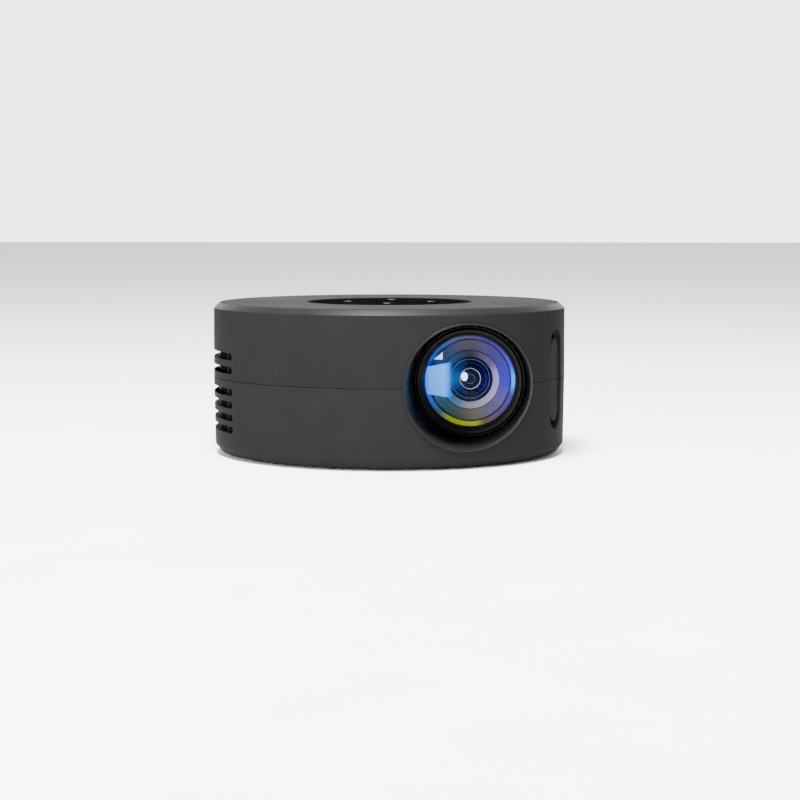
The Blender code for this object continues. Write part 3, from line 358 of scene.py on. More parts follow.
def finish(
    name,
    colour,
    roughness,
    metallic=0.0,
    grain=0.35,
    depth=0.02,
    mottle=0.12,
    wear_and_edge_sheen=0.5,
    worn_and_sheen_colour=None,
    specular=0.5,
    streaks=None,
):
    """A moulded, cast or machined surface, uneven in tone and gloss, with edges lightened partly by wear and
    partly by a painted edge highlight, and a raised grain.

    Grain and depth are in millimetres. Streaks stretches the grain along that axis.
    """
    material, tree, shader, place = start(name)
    stretch = [1.0, 1.0, 1.0]
    if streaks is not None:
        stretch[streaks] = 0.04
    grain_place = add(tree, "Mapping", Vector=place, Scale=stretch).outputs[0]
    broad = noise(tree, place, 22.0, 4.0)
    middle = noise(tree, place, 160.0, 3.0)
    fine = noise(tree, grain_place, 1 / (grain * MM), 2.0, 0.6)
    darker = (*[value * (1 - mottle) for value in colour[:3]], 1.0)
    lighter = (*[min(1.0, value * (1 + mottle)) for value in colour[:3]], 1.0)
    mixed = maths(tree, "ADD", maths(tree, "MULTIPLY", broad, 0.5), maths(tree, "MULTIPLY", middle, 0.3))
    mixed = maths(tree, "ADD", mixed, maths(tree, "MULTIPLY", fine, 0.2))
    base = ramp(tree, mixed, [(0.38, darker), (0.5, colour), (0.62, lighter)])
    mask, smooth = edge_mask(tree)
    # Edges are lightened: partly wear, partly a painted highlight along the edges
    patches = spread(tree, middle, 0.35, 0.6, 0.25, 1.0)
    rubbed_and_sheen = maths(tree, "MULTIPLY", maths(tree, "MULTIPLY", mask, patches), wear_and_edge_sheen)
    worn_and_sheen_colour = worn_and_sheen_colour or (*[min(1.0, value * 1.7 + 0.01) for value in colour[:3]], 1.0)
    fill(tree, shader.inputs["Base Color"], blend(tree, rubbed_and_sheen, base, worn_and_sheen_colour))
    gloss = spread(tree, mixed, 0.35, 0.65, roughness - 0.07, roughness + 0.07)
    gloss = maths(tree, "SUBTRACT", gloss, maths(tree, "MULTIPLY", rubbed_and_sheen, 0.1))
    fill(tree, shader.inputs["Roughness"], gloss)
    shader.inputs["Metallic"].default_value = metallic
    shader.inputs["Specular IOR Level"].default_value = specular
    bump = add(tree, "Bump", Height=fine, Distance=depth * MM, Strength=0.6, Normal=smooth)
    fill(tree, shader.inputs["Normal"], bump.outputs[0])
    return material


def lens_coordinates(tree, place):
    """Returns (right, up, distance, turn) about the lens axis, in millimetres.

    Turn runs from 0 to 1, from the left by way of the bottom, as the lens is faced.
    """
    moved = add(tree, "VectorMath", {"operation": "SUBTRACT"})
    fill(tree, moved.inputs[0], place)
    fill(tree, moved.inputs[1], (LENS.x, 0, LENS.z))
    parts = add(tree, "SeparateXYZ", Vector=moved.outputs[0]).outputs
    right = maths(tree, "MULTIPLY", parts[0], 1 / MM)
    up = maths(tree, "MULTIPLY", parts[2], 1 / MM)
    squares = maths(tree, "ADD", maths(tree, "MULTIPLY", right, right), maths(tree, "MULTIPLY", up, up))
    angle = maths(tree, "ARCTAN2", up, right)
    turn = maths(tree, "ADD", maths(tree, "DIVIDE", angle, 2 * math.pi), 0.5)
    return right, up, maths(tree, "SQRT", squares), turn


def wheel(tree, turn, colours):
    """Colours spread evenly round the lens axis, the first at the left."""
    count = len(colours)
    stops = [(index / count, tone(*colours[index % count])) for index in range(count + 1)]
    return ramp(tree, turn, stops, "EASE")


def coated(name, bands, lines, roughness):
    """An optical surface painted with its coating's colours, other in each band and direction: partly the
    coating's own tint, partly painted reflections.

    Bands are (inner radius, colours round the axis), from the middle out.
    Lines are (radius, half width, colour).
    """
    material, tree, shader, place = start(name)
    distance, turn = lens_coordinates(tree, place)[2:]
    fine = noise(tree, place, 900.0, 2.0)
    wavy = maths(tree, "ADD", distance, spread(tree, noise(tree, place, 120.0), 0.0, 1.0, -0.05, 0.05))
    colour = wheel(tree, turn, bands[0][1])
    for inner, colours in bands[1:]:
        mask = spread(tree, wavy, inner - 0.05, inner + 0.05, 0.0, 1.0)
        colour = blend(tree, mask, colour, wheel(tree, turn, colours))
    for radius, half, shade in lines:
        away = maths(tree, "ABSOLUTE", maths(tree, "SUBTRACT", wavy, radius))
        colour = blend(tree, spread(tree, away, half * 0.4, half, 0.85, 0.0), colour, tone(*shade))
    fill(tree, shader.inputs["Base Color"], colour)
    fill(tree, shader.inputs["Roughness"], spread(tree, fine, 0.3, 0.7, roughness - 0.05, roughness + 0.05))
    shader.inputs["Specular IOR Level"].default_value = 0.0
    bump = add(tree, "Bump", Height=fine, Distance=0.003 * MM, Strength=0.3)
    fill(tree, shader.inputs["Normal"], bump.outputs[0])
    return material


def every(tree, masks):
    """The product of several masks."""
    product = masks[0]
    for mask in masks[1:]:
        product = maths(tree, "MULTIPLY", product, mask)
    return product


def glass_with_painted_reflections(name):
    """Clear glass with a faint gloss.

    Painted on it: a painted reflection of a window at the left, a painted glint above it and a painted
    highlight near the middle, which also glow faintly.
    """
    material, tree, shader, place = start(name)
    right, up, distance = lens_coordinates(tree, place)[:3]
    tree.nodes.remove(shader)
    dust = noise(tree, place, 2600.0, 2.0)
    smear = noise(tree, place, 90.0, 4.0)
    smeared = spread(tree, smear, 0.3, 0.7, 0.03, 0.09)
    gloss = add(tree, "BsdfGlossy", Color=tone(200, 215, 255), Roughness=smeared)
    see = add(tree, "BsdfTransparent", Color=tone(250))
    soft = spread(tree, smear, 0.3, 0.7, -0.1, 0.1)
    rising = maths(tree, "SUBTRACT", up, maths(tree, "MULTIPLY", right, 0.2))
    falling = maths(tree, "ADD", up, maths(tree, "MULTIPLY", right, 0.14))
    # A painted reflection of a window at the left, with soft edges
    window = every(
        tree,
        [
            spread(tree, distance, 12.75, 12.95, 1.0, 0.0),
            spread(tree, maths(tree, "ADD", right, soft), -7.4, -5.0, 1.0, 0.0),
            spread(tree, rising, 6.4, 6.6, 1.0, 0.0),
            spread(tree, falling, -5.6, -5.4, 0.0, 1.0),
        ],
    )
    # A painted glint above the painted window
    steep = maths(tree, "SUBTRACT", up, maths(tree, "MULTIPLY", right, 0.86))
    painted_glint = every(
        tree,
        [
            spread(tree, up, 6.1, 6.3, 0.0, 1.0),
            spread(tree, right, -7.9, -7.7, 1.0, 0.0),
            spread(tree, steep, 14.9, 15.2, 1.0, 0.0),
        ],
    )
    # A painted highlight near the middle
    across = maths(tree, "ADD", right, 1.5)
    rise = maths(tree, "DIVIDE", maths(tree, "SUBTRACT", up, 1.4), 1.35)
    away = maths(tree, "ADD", maths(tree, "MULTIPLY", across, across), maths(tree, "MULTIPLY", rise, rise))
    painted_highlight = spread(tree, away, 0.55, 1.1, 1.0, 0.0)
    # Colours of the painted reflections, changing from left to right
    shades = [
        (0.0, tone(40, 110, 255)),
        (0.2, tone(80, 160, 255)),
        (0.75, tone(60, 160, 255)),
        (1.0, tone(20, 110, 240)),
    ]
    painted_reflection_colour = ramp(tree, spread(tree, right, -13.0, -5.0, 0.0, 1.0), shades)
    painted_reflection_colour = blend(tree, painted_glint, painted_reflection_colour, tone(215, 232, 255))
    painted_reflection_colour = blend(tree, painted_highlight, painted_reflection_colour, tone(245))
    paint = add(tree, "BsdfPrincipled", Roughness=0.5)
    fill(tree, paint.inputs["Base Color"], painted_reflection_colour)
    fill(tree, paint.inputs["Emission Color"], painted_reflection_colour)
    # The painted reflections also glow faintly, though the glass is no lamp
    paint.inputs["Emission Strength"].default_value = 0.5
    painted = maths(tree, "MULTIPLY", window, 0.94)
    painted = maths(tree, "MAXIMUM", painted, maths(tree, "MULTIPLY", painted_glint, 0.75))
    painted = maths(tree, "MAXIMUM", painted, maths(tree, "MULTIPLY", painted_highlight, 0.9))
    amount = spread(tree, distance, 8.0, 14.0, 0.002, 0.005)
    amount = maths(tree, "ADD", amount, spread(tree, dust, 0.6, 0.8, 0.0, 0.006))
    clear = add(tree, "MixShader")
    fill(tree, clear.inputs[0], amount)
    tree.links.new(see.outputs[0], clear.inputs[1])
    tree.links.new(gloss.outputs[0], clear.inputs[2])
    both = add(tree, "MixShader")
    fill(tree, both.inputs[0], painted)
    tree.links.new(clear.outputs[0], both.inputs[1])
    tree.links.new(paint.outputs[0], both.inputs[2])
    tree.links.new(both.outputs[0], tree.nodes["Material Output"].inputs["Surface"])
    return material


def circuit_board(name):
    """Green solder mask over copper tracks, with plated holes."""
    material, tree, shader, place = start(name)
    sizes = {"Mortar_Size": 0.03, "Brick_Width": 1.3, "Row_Height": 0.32}
    tracks = add(tree, "TexBrick", Vector=place, Scale=260.0, **sizes)
    holes = add(tree, "TexVoronoi", Vector=place, Scale=420.0)
    hole = spread(tree, holes.outputs["Distance"], 0.1, 0.14, 1.0, 0.0)
    grain = noise(tree, place, 1800.0)
    mask = blend(tree, grain, tone(8, 84, 44), tone(16, 104, 56))
    tracked = blend(tree, tracks.outputs["Fac"], mask, tone(38, 142, 82))
    fill(tree, shader.inputs["Base Color"], blend(tree, hole, tracked, tone(205, 178, 96)))
    fill(tree, shader.inputs["Roughness"], spread(tree, grain, 0.3, 0.7, 0.28, 0.45))
    fill(tree, shader.inputs["Metallic"], maths(tree, "MULTIPLY", hole, 0.9))
    height = maths(tree, "SUBTRACT", maths(tree, "MULTIPLY", tracks.outputs["Fac"], 0.6), hole)
    bump = add(tree, "Bump", Height=height, Distance=0.03 * MM, Strength=0.7)
    fill(tree, shader.inputs["Normal"], bump.outputs[0])
    return material


def ringed(name, colour, pitch, roughness, alpha=1.0, depth=0.03, centre=None):
    """A surface with fine rings about an axis along Y: a moulded lens sheet or a paper cone."""
    material, tree, shader, place = start(name)
    moved = add(tree, "Mapping", Vector=place, Location=centre or (-LENS.x, 0, -LENS.z)).outputs[0]
    parts = add(tree, "SeparateXYZ", Vector=moved).outputs
    height = parts[2] if centre is None else parts[1]
    width_squared = maths(tree, "MULTIPLY", parts[0], parts[0])
    squares = maths(tree, "ADD", width_squared, maths(tree, "MULTIPLY", height, height))
    per_ring = 2 * math.pi / (pitch * MM)
    wave = maths(tree, "SINE", maths(tree, "MULTIPLY", maths(tree, "SQRT", squares), per_ring))
    grain = noise(tree, place, 1500.0)
    darker = (*[value * 0.75 for value in colour[:3]], 1.0)
    shade = spread(tree, maths(tree, "ADD", wave, grain), -1.0, 2.0, 0.0, 1.0)
    fill(tree, shader.inputs["Base Color"], blend(tree, shade, darker, colour))
    fill(tree, shader.inputs["Roughness"], spread(tree, grain, 0.3, 0.7, roughness - 0.05, roughness + 0.08))
    fill(tree, shader.inputs["Alpha"], spread(tree, grain, 0.0, 1.0, alpha * 0.95, min(1.0, alpha * 1.05)))
    bump = add(tree, "Bump", Height=wave, Distance=depth * MM, Strength=0.8)
    fill(tree, shader.inputs["Normal"], bump.outputs[0])
    return material


def lined(name, colour, line, pitch, roughness):
    """Fine parallel lines across a sheet: display columns or ribbon tracks."""
    material, tree, shader, place = start(name)
    parts = add(tree, "SeparateXYZ", Vector=place).outputs
    wave = maths(tree, "SINE", maths(tree, "MULTIPLY", parts[0], 2 * math.pi / (pitch * MM)))
    grain = noise(tree, place, 1200.0)
    stripe = spread(tree, wave, -0.2, 0.5, 0.0, 1.0)
    mixed = blend(tree, stripe, line, colour)
    mixed = blend(tree, spread(tree, grain, 0.3, 0.7, 0.0, 0.15), mixed, tone(20))
    fill(tree, shader.inputs["Base Color"], mixed)
    fill(tree, shader.inputs["Roughness"], spread(tree, grain, 0.3, 0.7, roughness - 0.06, roughness + 0.06))
    bump = add(tree, "Bump", Height=wave, Distance=0.02 * MM, Strength=0.5)
    fill(tree, shader.inputs["Normal"], bump.outputs[0])
    return material


# The coating's colours, partly its own tint and partly painted reflections, spread evenly round the lens
# axis, from the left by way of the bottom, the right and the top
OUTER_RIM = [
    (40, 100, 255), (50, 100, 225), (70, 120, 130), (205, 225, 10),
    (180, 185, 50), (100, 85, 75), (80, 65, 110), (65, 60, 130),
    (40, 140, 255), (55, 65, 170), (60, 50, 130), (60, 50, 115),
    (70, 65, 90), (65, 75, 120), (35, 75, 150), (35, 90, 215),
]
OUTER_BAND = [
    (70, 130, 195), (65, 100, 110), (100, 100, 85), (80, 75, 110),
    (50, 45, 150), (60, 55, 110), (70, 70, 80), (50, 65, 95),
]
INNER_BAND = [
    (50, 130, 210), (70, 120, 170), (145, 145, 160), (140, 135, 160),
    (135, 120, 180), (80, 75, 110), (50, 55, 65), (45, 70, 100),
]
DEEP_BAND = [
    (20, 105, 175), (10, 40, 90), (20, 30, 40), (5, 10, 55),
    (0, 0, 65), (5, 5, 45), (10, 15, 40), (20, 55, 110),
]
DEEP_RIM = [
    (30, 100, 165), (20, 45, 65), (30, 40, 45), (10, 15, 40),
    (5, 5, 45), (10, 15, 40), (20, 25, 35), (25, 60, 95),
]
DEEP_MIDDLE = [
    (20, 35, 60), (15, 25, 50), (15, 20, 45), (15, 20, 40),
    (15, 20, 40), (20, 25, 45), (25, 30, 50), (25, 35, 60),
]
BAFFLE_BANDS = [(0.0, INNER_BAND), (8.6, OUTER_BAND), (11.85, OUTER_RIM)]
BAFFLE_LINES = [
    (8.6, 0.12, (15, 15, 20)),
    (11.85, 0.2, (10, 10, 15)),
    (10.2, 0.05, (70, 70, 85)),
    (13.5, 0.3, (10, 10, 15)),
]
DEEP_BANDS = [(0.0, DEEP_MIDDLE), (3.0, DEEP_BAND), (5.7, DEEP_RIM)]
DEEP_LINES = [
    (0.7, 0.15, (25, 30, 55)),
    (1.4, 0.12, (85, 100, 135)),
    (2.2, 0.12, (25, 30, 65)),
    (3.0, 0.14, (195, 205, 220)),
    (3.5, 0.12, (15, 15, 50)),
    (4.6, 0.1, (50, 65, 120)),
    (5.7, 0.14, (90, 95, 120)),
    (6.5, 0.25, (30, 35, 45)),
]

# The edge settings lighten edges, partly as wear and partly as a painted edge highlight, most on the bezel's
# lip and the panel's rim
CASE_GRAIN = {"grain": 0.28, "depth": 0.02, "mottle": 0.07, "wear_and_edge_sheen": 0.35}
PANEL_GRAIN = {"grain": 0.6, "depth": 0.002, "wear_and_edge_sheen": 0.8, "worn_and_sheen_colour": tone(40)}
BRIGHT = tone(235, 235, 238)
PLATED = {"grain": 0.35, "streaks": 1, "depth": 0.006, "mottle": 0.06}

FINISHES = {
    "shell": finish("charcoal_plastic", tone(28, 28, 28.5), 0.55, specular=0.004, **CASE_GRAIN),
    "bezel": finish(
        "black_plastic", tone(22, 22, 22), 0.42, grain=0.22, depth=0.01, mottle=0.1, wear_and_edge_sheen=0.8, specular=0.06
    ),
    "panel": finish("gloss_black_plastic", tone(12, 12, 13), 0.34, specular=0.0, **PANEL_GRAIN),
    "frame": finish("dark_grey_plastic", tone(46, 46, 48), 0.58, grain=0.3, depth=0.02),
    "glass": coated("coated_glass", BAFFLE_BANDS, BAFFLE_LINES, 0.3),
    "acrylic": ringed("clear_acrylic", tone(225, 230, 234), 0.4, 0.12, alpha=0.45),
    "screen": lined("display_glass", tone(34, 38, 48), tone(18, 20, 26), 0.12, 0.12),
    "reflector": finish("polished_reflector", BRIGHT, 0.14, 1.0, grain=0.3, depth=0.003, mottle=0.04),
    "led": finish("led_phosphor", tone(232, 196, 70), 0.5, grain=0.15, depth=0.01, mottle=0.15),
    "aluminium": finish("aluminium", tone(150, 152, 155), 0.42, 1.0, grain=0.3, streaks=2, depth=0.01),
    "steel": finish("black_steel", tone(120, 120, 124), 0.34, 1.0, grain=0.25, depth=0.01, worn_and_sheen_colour=tone(200)),
    "port": finish("plated_steel", tone(196, 197, 200), 0.26, 1.0, **PLATED),
    "board": circuit_board("circuit_board"),
    "chip": finish("chip_resin", tone(32, 32, 34), 0.5, grain=0.15, depth=0.01),
    "rubber": finish("black_rubber", tone(36, 36, 36), 0.82, grain=0.4, depth=0.04, mottle=0.15),
    "fan": finish("fan_plastic", tone(56, 56, 60), 0.46, grain=0.3, depth=0.01),
    "cone": ringed("speaker_paper", tone(58, 55, 50), 1.1, 0.85, depth=0.08, centre=(9 * MM, 27 * MM, 0)),
    "lead": finish("red_lead", tone(190, 34, 24), 0.5, grain=0.3, depth=0.01),
    "ribbon": lined("polyimide_ribbon", tone(206, 140, 52), tone(150, 84, 26), 0.5, 0.34),
}
# A darker, glossier copy of the shell's finish for the top chamfer only, so that the chamfer alone shows the
# top lamp as a highlight
CHAMFER_SHEEN = finish("chamfer_sheen_plastic", tone(24, 24, 24.5), 0.45, specular=0.075, **CASE_GRAIN)
MARK_PAINT = finish("key_mark", tone(64, 64, 66), 0.5, grain=0.3, depth=0.004, mottle=0.2, specular=0.1)
SOCKET_PLASTIC = finish("socket_plastic", tone(30, 30, 32), 0.4, grain=0.2, depth=0.01)
GOLD = finish("gold_contact", tone(226, 178, 84), 0.24, 1.0, grain=0.3, streaks=1, depth=0.004)
DEEP_GLASS = coated("deep_glass", DEEP_BANDS, DEEP_LINES, 0.25)
PAINTED_REFLECTION_GLASS = glass_with_painted_reflections("glass_painted_reflections")


SMOOTH_ANGLE = 32
# A face with more corners than this, or one that is level, is flat and is shaded flat
MOST_CURVED_CORNERS = 12
LEVEL = 0.99999


def show(piece, *nodes, look=None, body=None):
    """Gives a piece its finish, shades it, and lets it stand for these nodes."""
    slot = SLOT_OF[nodes[0]] if nodes else None
    piece.data.materials.clear()
    piece.data.materials.append(look or FINISHES[slot])
    piece.data.shade_smooth()
    piece.data.set_sharp_from_angle(angle=math.radians(SMOOTH_ANGLE))
    for face in piece.data.polygons:
        if face.loop_total > MOST_CURVED_CORNERS or abs(face.normal.z) > LEVEL:
            face.use_smooth = False
    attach(piece, body or BODY_OF[nodes[0]])
    if nodes:
        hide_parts(*nodes)


# ---------------------------------------------------------------- casing

BODY_STEPS = 240
WALL = 2.2 * MM
INNER = RADIUS - WALL
SEAM_GAP = 0.06 * MM
OVERLAP = 0.4 * MM
SLOT_WIDTH = 2.1 * MM
SLOT_RUNS = ((180.0, 58.0 * MM, 40), (REAR_ANGLE, 28.0 * MM, 20))
RIB_ANGLES = (155.0, 167.5, 180.0, 192.5, 205.0)


def side_slots(side):
    """Cutters for the air slots above or below the seam, with rounded edges."""
    half = SLOT_WIDTH / 2
    cutters = []
    for offset in SLOT_OFFSETS:
        if offset * side < 0:
            continue
        for angle, length, straight in SLOT_RUNS:
            label = f"slot_{angle:.0f}_{offset:.0f}"
            reach = length / 2 - half
            through = block(label, (40 * MM, -reach, -half), (60 * MM, reach, half))
            turn = Matrix.Rotation(math.radians(angle), 4, "Z")
            through.data.transform(Matrix.Translation((0, 0, SEAM_Z + offset * MM)) @ turn)
            layers = [(0, RADIUS - 6 * MM), *lip()]
            opening = wrapped(label + "_lip", length, SLOT_WIDTH, layers, angle, straight=straight)
            opening.data.transform(Matrix.Translation((0, 0, offset * MM)))
            cutters += [through, opening]
    return cutters


def ribs(low, high):
    pieces = []
    for angle in RIB_ANGLES:
        near, far = (INNER - 1.5 * MM, -0.6 * MM, low), (INNER + 0.3 * MM, 0.6 * MM, high)
        rib = block(f"rib_{angle:.0f}", near, far)
        rib.data.transform(Matrix.Rotation(math.radians(angle), 4, "Z"))
        pieces.append(rib)
    return pieces


def strap(shell, side):
    """A recess with a bar across it, for a strap."""
    near, far = (SEAM_Z + SEAM_GAP, TOP_Z + 9 * MM) if side > 0 else (BASE_Z - 9 * MM, SEAM_Z - SEAM_GAP)
    half = (-90 * MM, -90 * MM, near), (90 * MM, 90 * MM, far)

    def piece(label, length, width, layers, straight=12):
        made = wrapped(f"strap_{label}", length * MM, width * MM, layers, STRAP_ANGLE, True, straight)
        return boolean(made, "INTERSECT", [block("half", *half)])

    floor = RADIUS - 1.3 * MM
    front = RADIUS - 0.6 * MM
    back = RADIUS - 2.35 * MM
    channel = back - 2.4 * MM
    rounding = 0.25 * MM
    join(shell, piece("backing", 31.2, 11.8, [(0, channel - 1.0 * MM), (0, floor + OVERLAP)]))
    cut(shell, wrapped("recess", 29.2 * MM, 9.8 * MM, [(0, floor), *lip()], STRAP_ANGLE, True, 12))
    through = [(0, channel), (0, RADIUS + 2 * MM)]
    cut(shell, wrapped("channel", 28.4 * MM, 6.0 * MM, through, STRAP_ANGLE, True, 12))
    turns = [math.pi / 2 * step / 4 for step in range(5)]
    face = [(-rounding * (1 - math.cos(turn)), front - rounding * (1 - math.sin(turn))) for turn in turns]
    join(shell, piece("bar", 24.2, 7.4, [(0, back), *face]))


def lens_hole():
    low, high = -62 * MM, -20 * MM
    hole = drum("lens_hole", BEZEL_RADIUS + 0.03 * MM, low, high, 192)
    hole.data.transform(Matrix.Translation(LENS) @ Matrix.Rotation(math.radians(-90), 4, "X"))
    return hole


def on_chamfer(face):
    """True for the sloping faces round the top edge."""
    near_edge = face.center.z > TOP_Z - 2.5 * MM and face.center.xy.length > RADIUS - 3 * MM
    return near_edge and 0.5 < face.normal.z < 0.93


def upper_shell():
    rebate = INNER + 1.1 * MM
    rebate_top = SEAM_Z + 1.65 * MM
    joint = SEAM_Z + SEAM_GAP
    profile = [
        (0, TOP_Z),
        (RADIUS - 1.9 * MM, TOP_Z, 0.7 * MM),
        (RADIUS - 0.1 * MM, TOP_Z - 1.65 * MM, 0.9 * MM),
        (RADIUS, joint, 0.14 * MM),
        (rebate, joint),
        (rebate, rebate_top),
        (INNER, rebate_top),
        (INNER, TOP_Z - WALL),
        (0, TOP_Z - WALL),
    ]
    shell = turned("upper_case", fillets(profile, steps=5), BODY_STEPS)
    strap(shell, 1)
    cut(shell, lens_hole(), *side_slots(1))
    join(shell, *ribs(rebate_top + 0.3 * MM, SEAM_Z + 9.0 * MM))
    well = [(0, -5), (18.6, -5), (18.6, -1.3), (24.6, -1.3), (24.6, -0.2), (24.65, -0.06), (24.8, 0)]
    well += [(24.8, 2), (0, 2)]
    cut(shell, turned("key_well", scaled(well), 160, Matrix.Translation((0, 0, TOP_Z))))
    show(shell, "upper_shell")
    # The chamfer faces get the glossier copy of the finish, to catch a highlight
    shell.data.materials.append(CHAMFER_SHEEN)
    for face in shell.data.polygons:
        if on_chamfer(face):
            face.material_index = 1


def port_cutters():
    """The flat port face and the opening of each socket."""
    near, far = (-24 * MM, 49 * MM, BASE_Z + 3.5 * MM), (24 * MM, 60 * MM, SEAM_Z - 3 * MM)
    cutters = [block("port_face", near, far, 0.35 * MM)]
    for node, edge in (("usb_socket", 0.5), ("power_socket", 0.4)):
        low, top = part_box(node)
        gap = 0.3 * MM
        corners = rectangle(low.x - gap, low.z - gap, top.x + gap, top.z + gap, edge * MM)
        outline = fillets(corners, True)
        middle = Vector(((low.x + top.x) / 2, (low.z + top.z) / 2))
        loops = []
        for grow, y in ((0, 44), (0, 48.7), (0.08, 48.9), (0.3, 49.02), (0.3, 52)):
            wider = [point + (point - middle).normalized() * grow * MM for point in outline]
            loops.append([(x, y * MM, z) for x, z in wider])
        cutters.append(skin(node + "_hole", loops))
    profile = [(0, 40), (3.0, 40), (3.0, 48.75), (3.08, 48.92), (3.3, 49.02), (3.3, 53), (0, 53)]
    cutters.append(turned("jack_hole", scaled(profile), 64, JACK_PLACE))
    return cutters


def speaker_holes():
    """Centres in millimetres: one in the middle and two rings round it."""
    spots = [(0.0, 0.0)]
    for reach, count in ((3.0, 6), (6.0, 12)):
        turns = [2 * math.pi * number / count for number in range(count)]
        spots += [(reach * math.cos(turn), reach * math.sin(turn)) for turn in turns]
    return spots


def lower_shell():
    joint = SEAM_Z - SEAM_GAP
    tongue = INNER + 0.8 * MM
    floor = BASE_Z + 2.0 * MM
    profile = [
        (0, floor),
        (INNER, floor),
        (INNER, SEAM_Z + 1.35 * MM),
        (tongue, SEAM_Z + 1.35 * MM),
        (tongue, joint),
        (RADIUS, joint, 0.14 * MM),
        (RADIUS - 0.3 * MM, BASE_Z + 2.2 * MM, 1.1 * MM),
        (RADIUS - 2.1 * MM, BASE_Z, 0.8 * MM),
        (0, BASE_Z),
    ]
    shell = turned("lower_case", fillets(profile, steps=5), BODY_STEPS)
    gap = block("tongue_gap", (45 * MM, -8 * MM, joint + 0.05 * MM), (51.3 * MM, 8 * MM, joint + 4 * MM))
    gap.data.transform(Matrix.Rotation(math.radians(STRAP_ANGLE), 4, "Z"))
    cut(shell, gap)
    strap(shell, -1)
    cut(shell, lens_hole(), *side_slots(-1))
    join(shell, *ribs(floor - OVERLAP, joint - OVERLAP))
    plate_low = (-17.4 * MM, 46.6 * MM, floor - OVERLAP)
    join(shell, block("port_plate", plate_low, (17.4 * MM, 49.5 * MM, SEAM_Z - 2 * MM)))
    cut(shell, *port_cutters())
    join(shell, *[drum(f"boss_{x}", 3.0 * MM, floor - OVERLAP, joint, place=at(x, y)) for x, y in BOSSES])
    well = [(0, -2), (2.5, -2), (2.5, 0.8), (2.28, 0.86), (2.2, 1.1), (2.2, 13.0)]
    well += [(1.3, 13.0), (1.3, 27), (0, 27)]
    cut(shell, *[turned(f"well_{x}", scaled(well), 32, at(x, y)) for x, y in BOSSES])
    seat = [(0, -2), (4.6, -2), (4.6, 0.8), (4.36, 0.88), (4.3, 1.1), (4.3, 1.4), (0, 1.4)]
    seats = [(x, y) for x in (-FOOT_REACH, FOOT_REACH) for y in (-FOOT_REACH, FOOT_REACH)]
    cut(shell, *[turned(f"seat_{x}_{y}", scaled(seat), 64, at(x, y)) for x, y in seats])
    bore = scaled([(0, -2), (1.05, -2), (1.05, 0.8), (0.88, 0.86), (0.8, 1.05), (0.8, 4.0), (0, 4.0)])
    places = [at(SPEAKER[0] + x, SPEAKER[1] + y) for x, y in speaker_holes()]
    cut(shell, *[turned(f"grille_{number}", bore, 20, place) for number, place in enumerate(places)])
    show(shell, "lower_shell")


def feet():
    for number in range(1, 5):
        node = f"foot_{number}"
        low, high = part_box(node)
        radius = (high.x - low.x) / 2
        dimple = low.z + 0.12 * MM
        profile = [
            (0, high.z),
            (radius, high.z),
            (radius, low.z, 0.35 * MM),
            (radius * 0.55, low.z, 0.1 * MM),
            (radius * 0.5, dimple, 0.1 * MM),
            (0, dimple),
        ]
        show(turned(f"rubber_foot_{number}", fillets(profile), 72, under_middle(low, high)), node)


def case_screws():
    for number in range(1, 5):
        node = f"case_screw_{number}"
        low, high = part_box(node)
        head = low.z + 1.55 * MM
        profile = [
            (0, low.z),
            (1.9 * MM, low.z, 0.35 * MM),
            (1.9 * MM, head, 0.1 * MM),
            (1.0 * MM, head),
            (1.0 * MM, high.z - 1 * MM),
            (0, high.z),
        ]
        middle = under_middle(low, high)
        screw = turned(f"screw_{number}", fillets(profile), 40, middle)
        arms = []
        for turn in (0, 90):
            near = (-1.15 * MM, -0.28 * MM, low.z - 1 * MM)
            arm = block(f"drive_{turn}", near, (1.15 * MM, 0.28 * MM, low.z + 0.9 * MM), 0.08 * MM)
            arm.data.transform(middle @ Matrix.Rotation(math.radians(turn + 17 * number), 4, "Z"))
            arms.append(arm)
        show(cut(screw, *arms), node)


# ---------------------------------------------------------------- control panel


def ring_part(inner, outer, middle, slit, corner):
    """The outline of a quarter ring with rounded corners and parallel slits beside it."""
    outer_half = 45 - math.degrees(math.asin(slit / 2 / outer))
    inner_half = 45 - math.degrees(math.asin(slit / 2 / inner))
    count = 24
    points = []
    for radius, half, way in ((outer, outer_half, 1), (inner, inner_half, -1)):
        for step in range(count + 1):
            from_end = min(step, count - step)
            if from_end in (1, 2):
                continue
            turn = math.radians(middle + way * half * (2 * step / count - 1))
            ends = from_end == 0
            points.append((radius * math.cos(turn), radius * math.sin(turn), corner if ends else 0))
    return fillets(points, True)


KEY_ANGLES = {"key_menu": 90.0, "key_back": 180.0, "key_play": 270.0, "key_next": 0.0}


def control_panel():
    low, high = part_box("control_panel")
    radius = (high.x - low.x) / 2
    face = high.z - 0.12 * MM
    profile = [
        (0, low.z),
        (radius, low.z),
        (radius, high.z, 0.25 * MM),
        (radius - 0.9 * MM, high.z, 0.1 * MM),
        (radius - 1.1 * MM, face, 0.1 * MM),
        (0, face),
    ]
    panel = turned("panel_disc", fillets(profile), 192)
    under, over = low.z - 1 * MM, high.z + 1 * MM
    windows = [drum("window", 6.2 * MM, under, over, 96)]
    for name, angle in KEY_ANGLES.items():
        outline = ring_part(8.1 * MM, 16.9 * MM, angle, 1.8 * MM, 0.8 * MM)
        windows.append(prism(name + "_window", outline, under, over))
    cut(panel, *windows)
    show(soften(panel, 0.08 * MM, 2), "control_panel")


def arrow(centre, angle, size):
    """A triangle with rounded corners that points away from the middle."""
    out = outward(angle)
    tips = [(size, 0), (-size * 0.7, size * 0.95), (-size * 0.7, -size * 0.95)]
    points = [centre + out * along + UP.cross(out) * across for along, across in tips]
    return fillets([(point.x, point.y, size * 0.12) for point in points], True, 2)


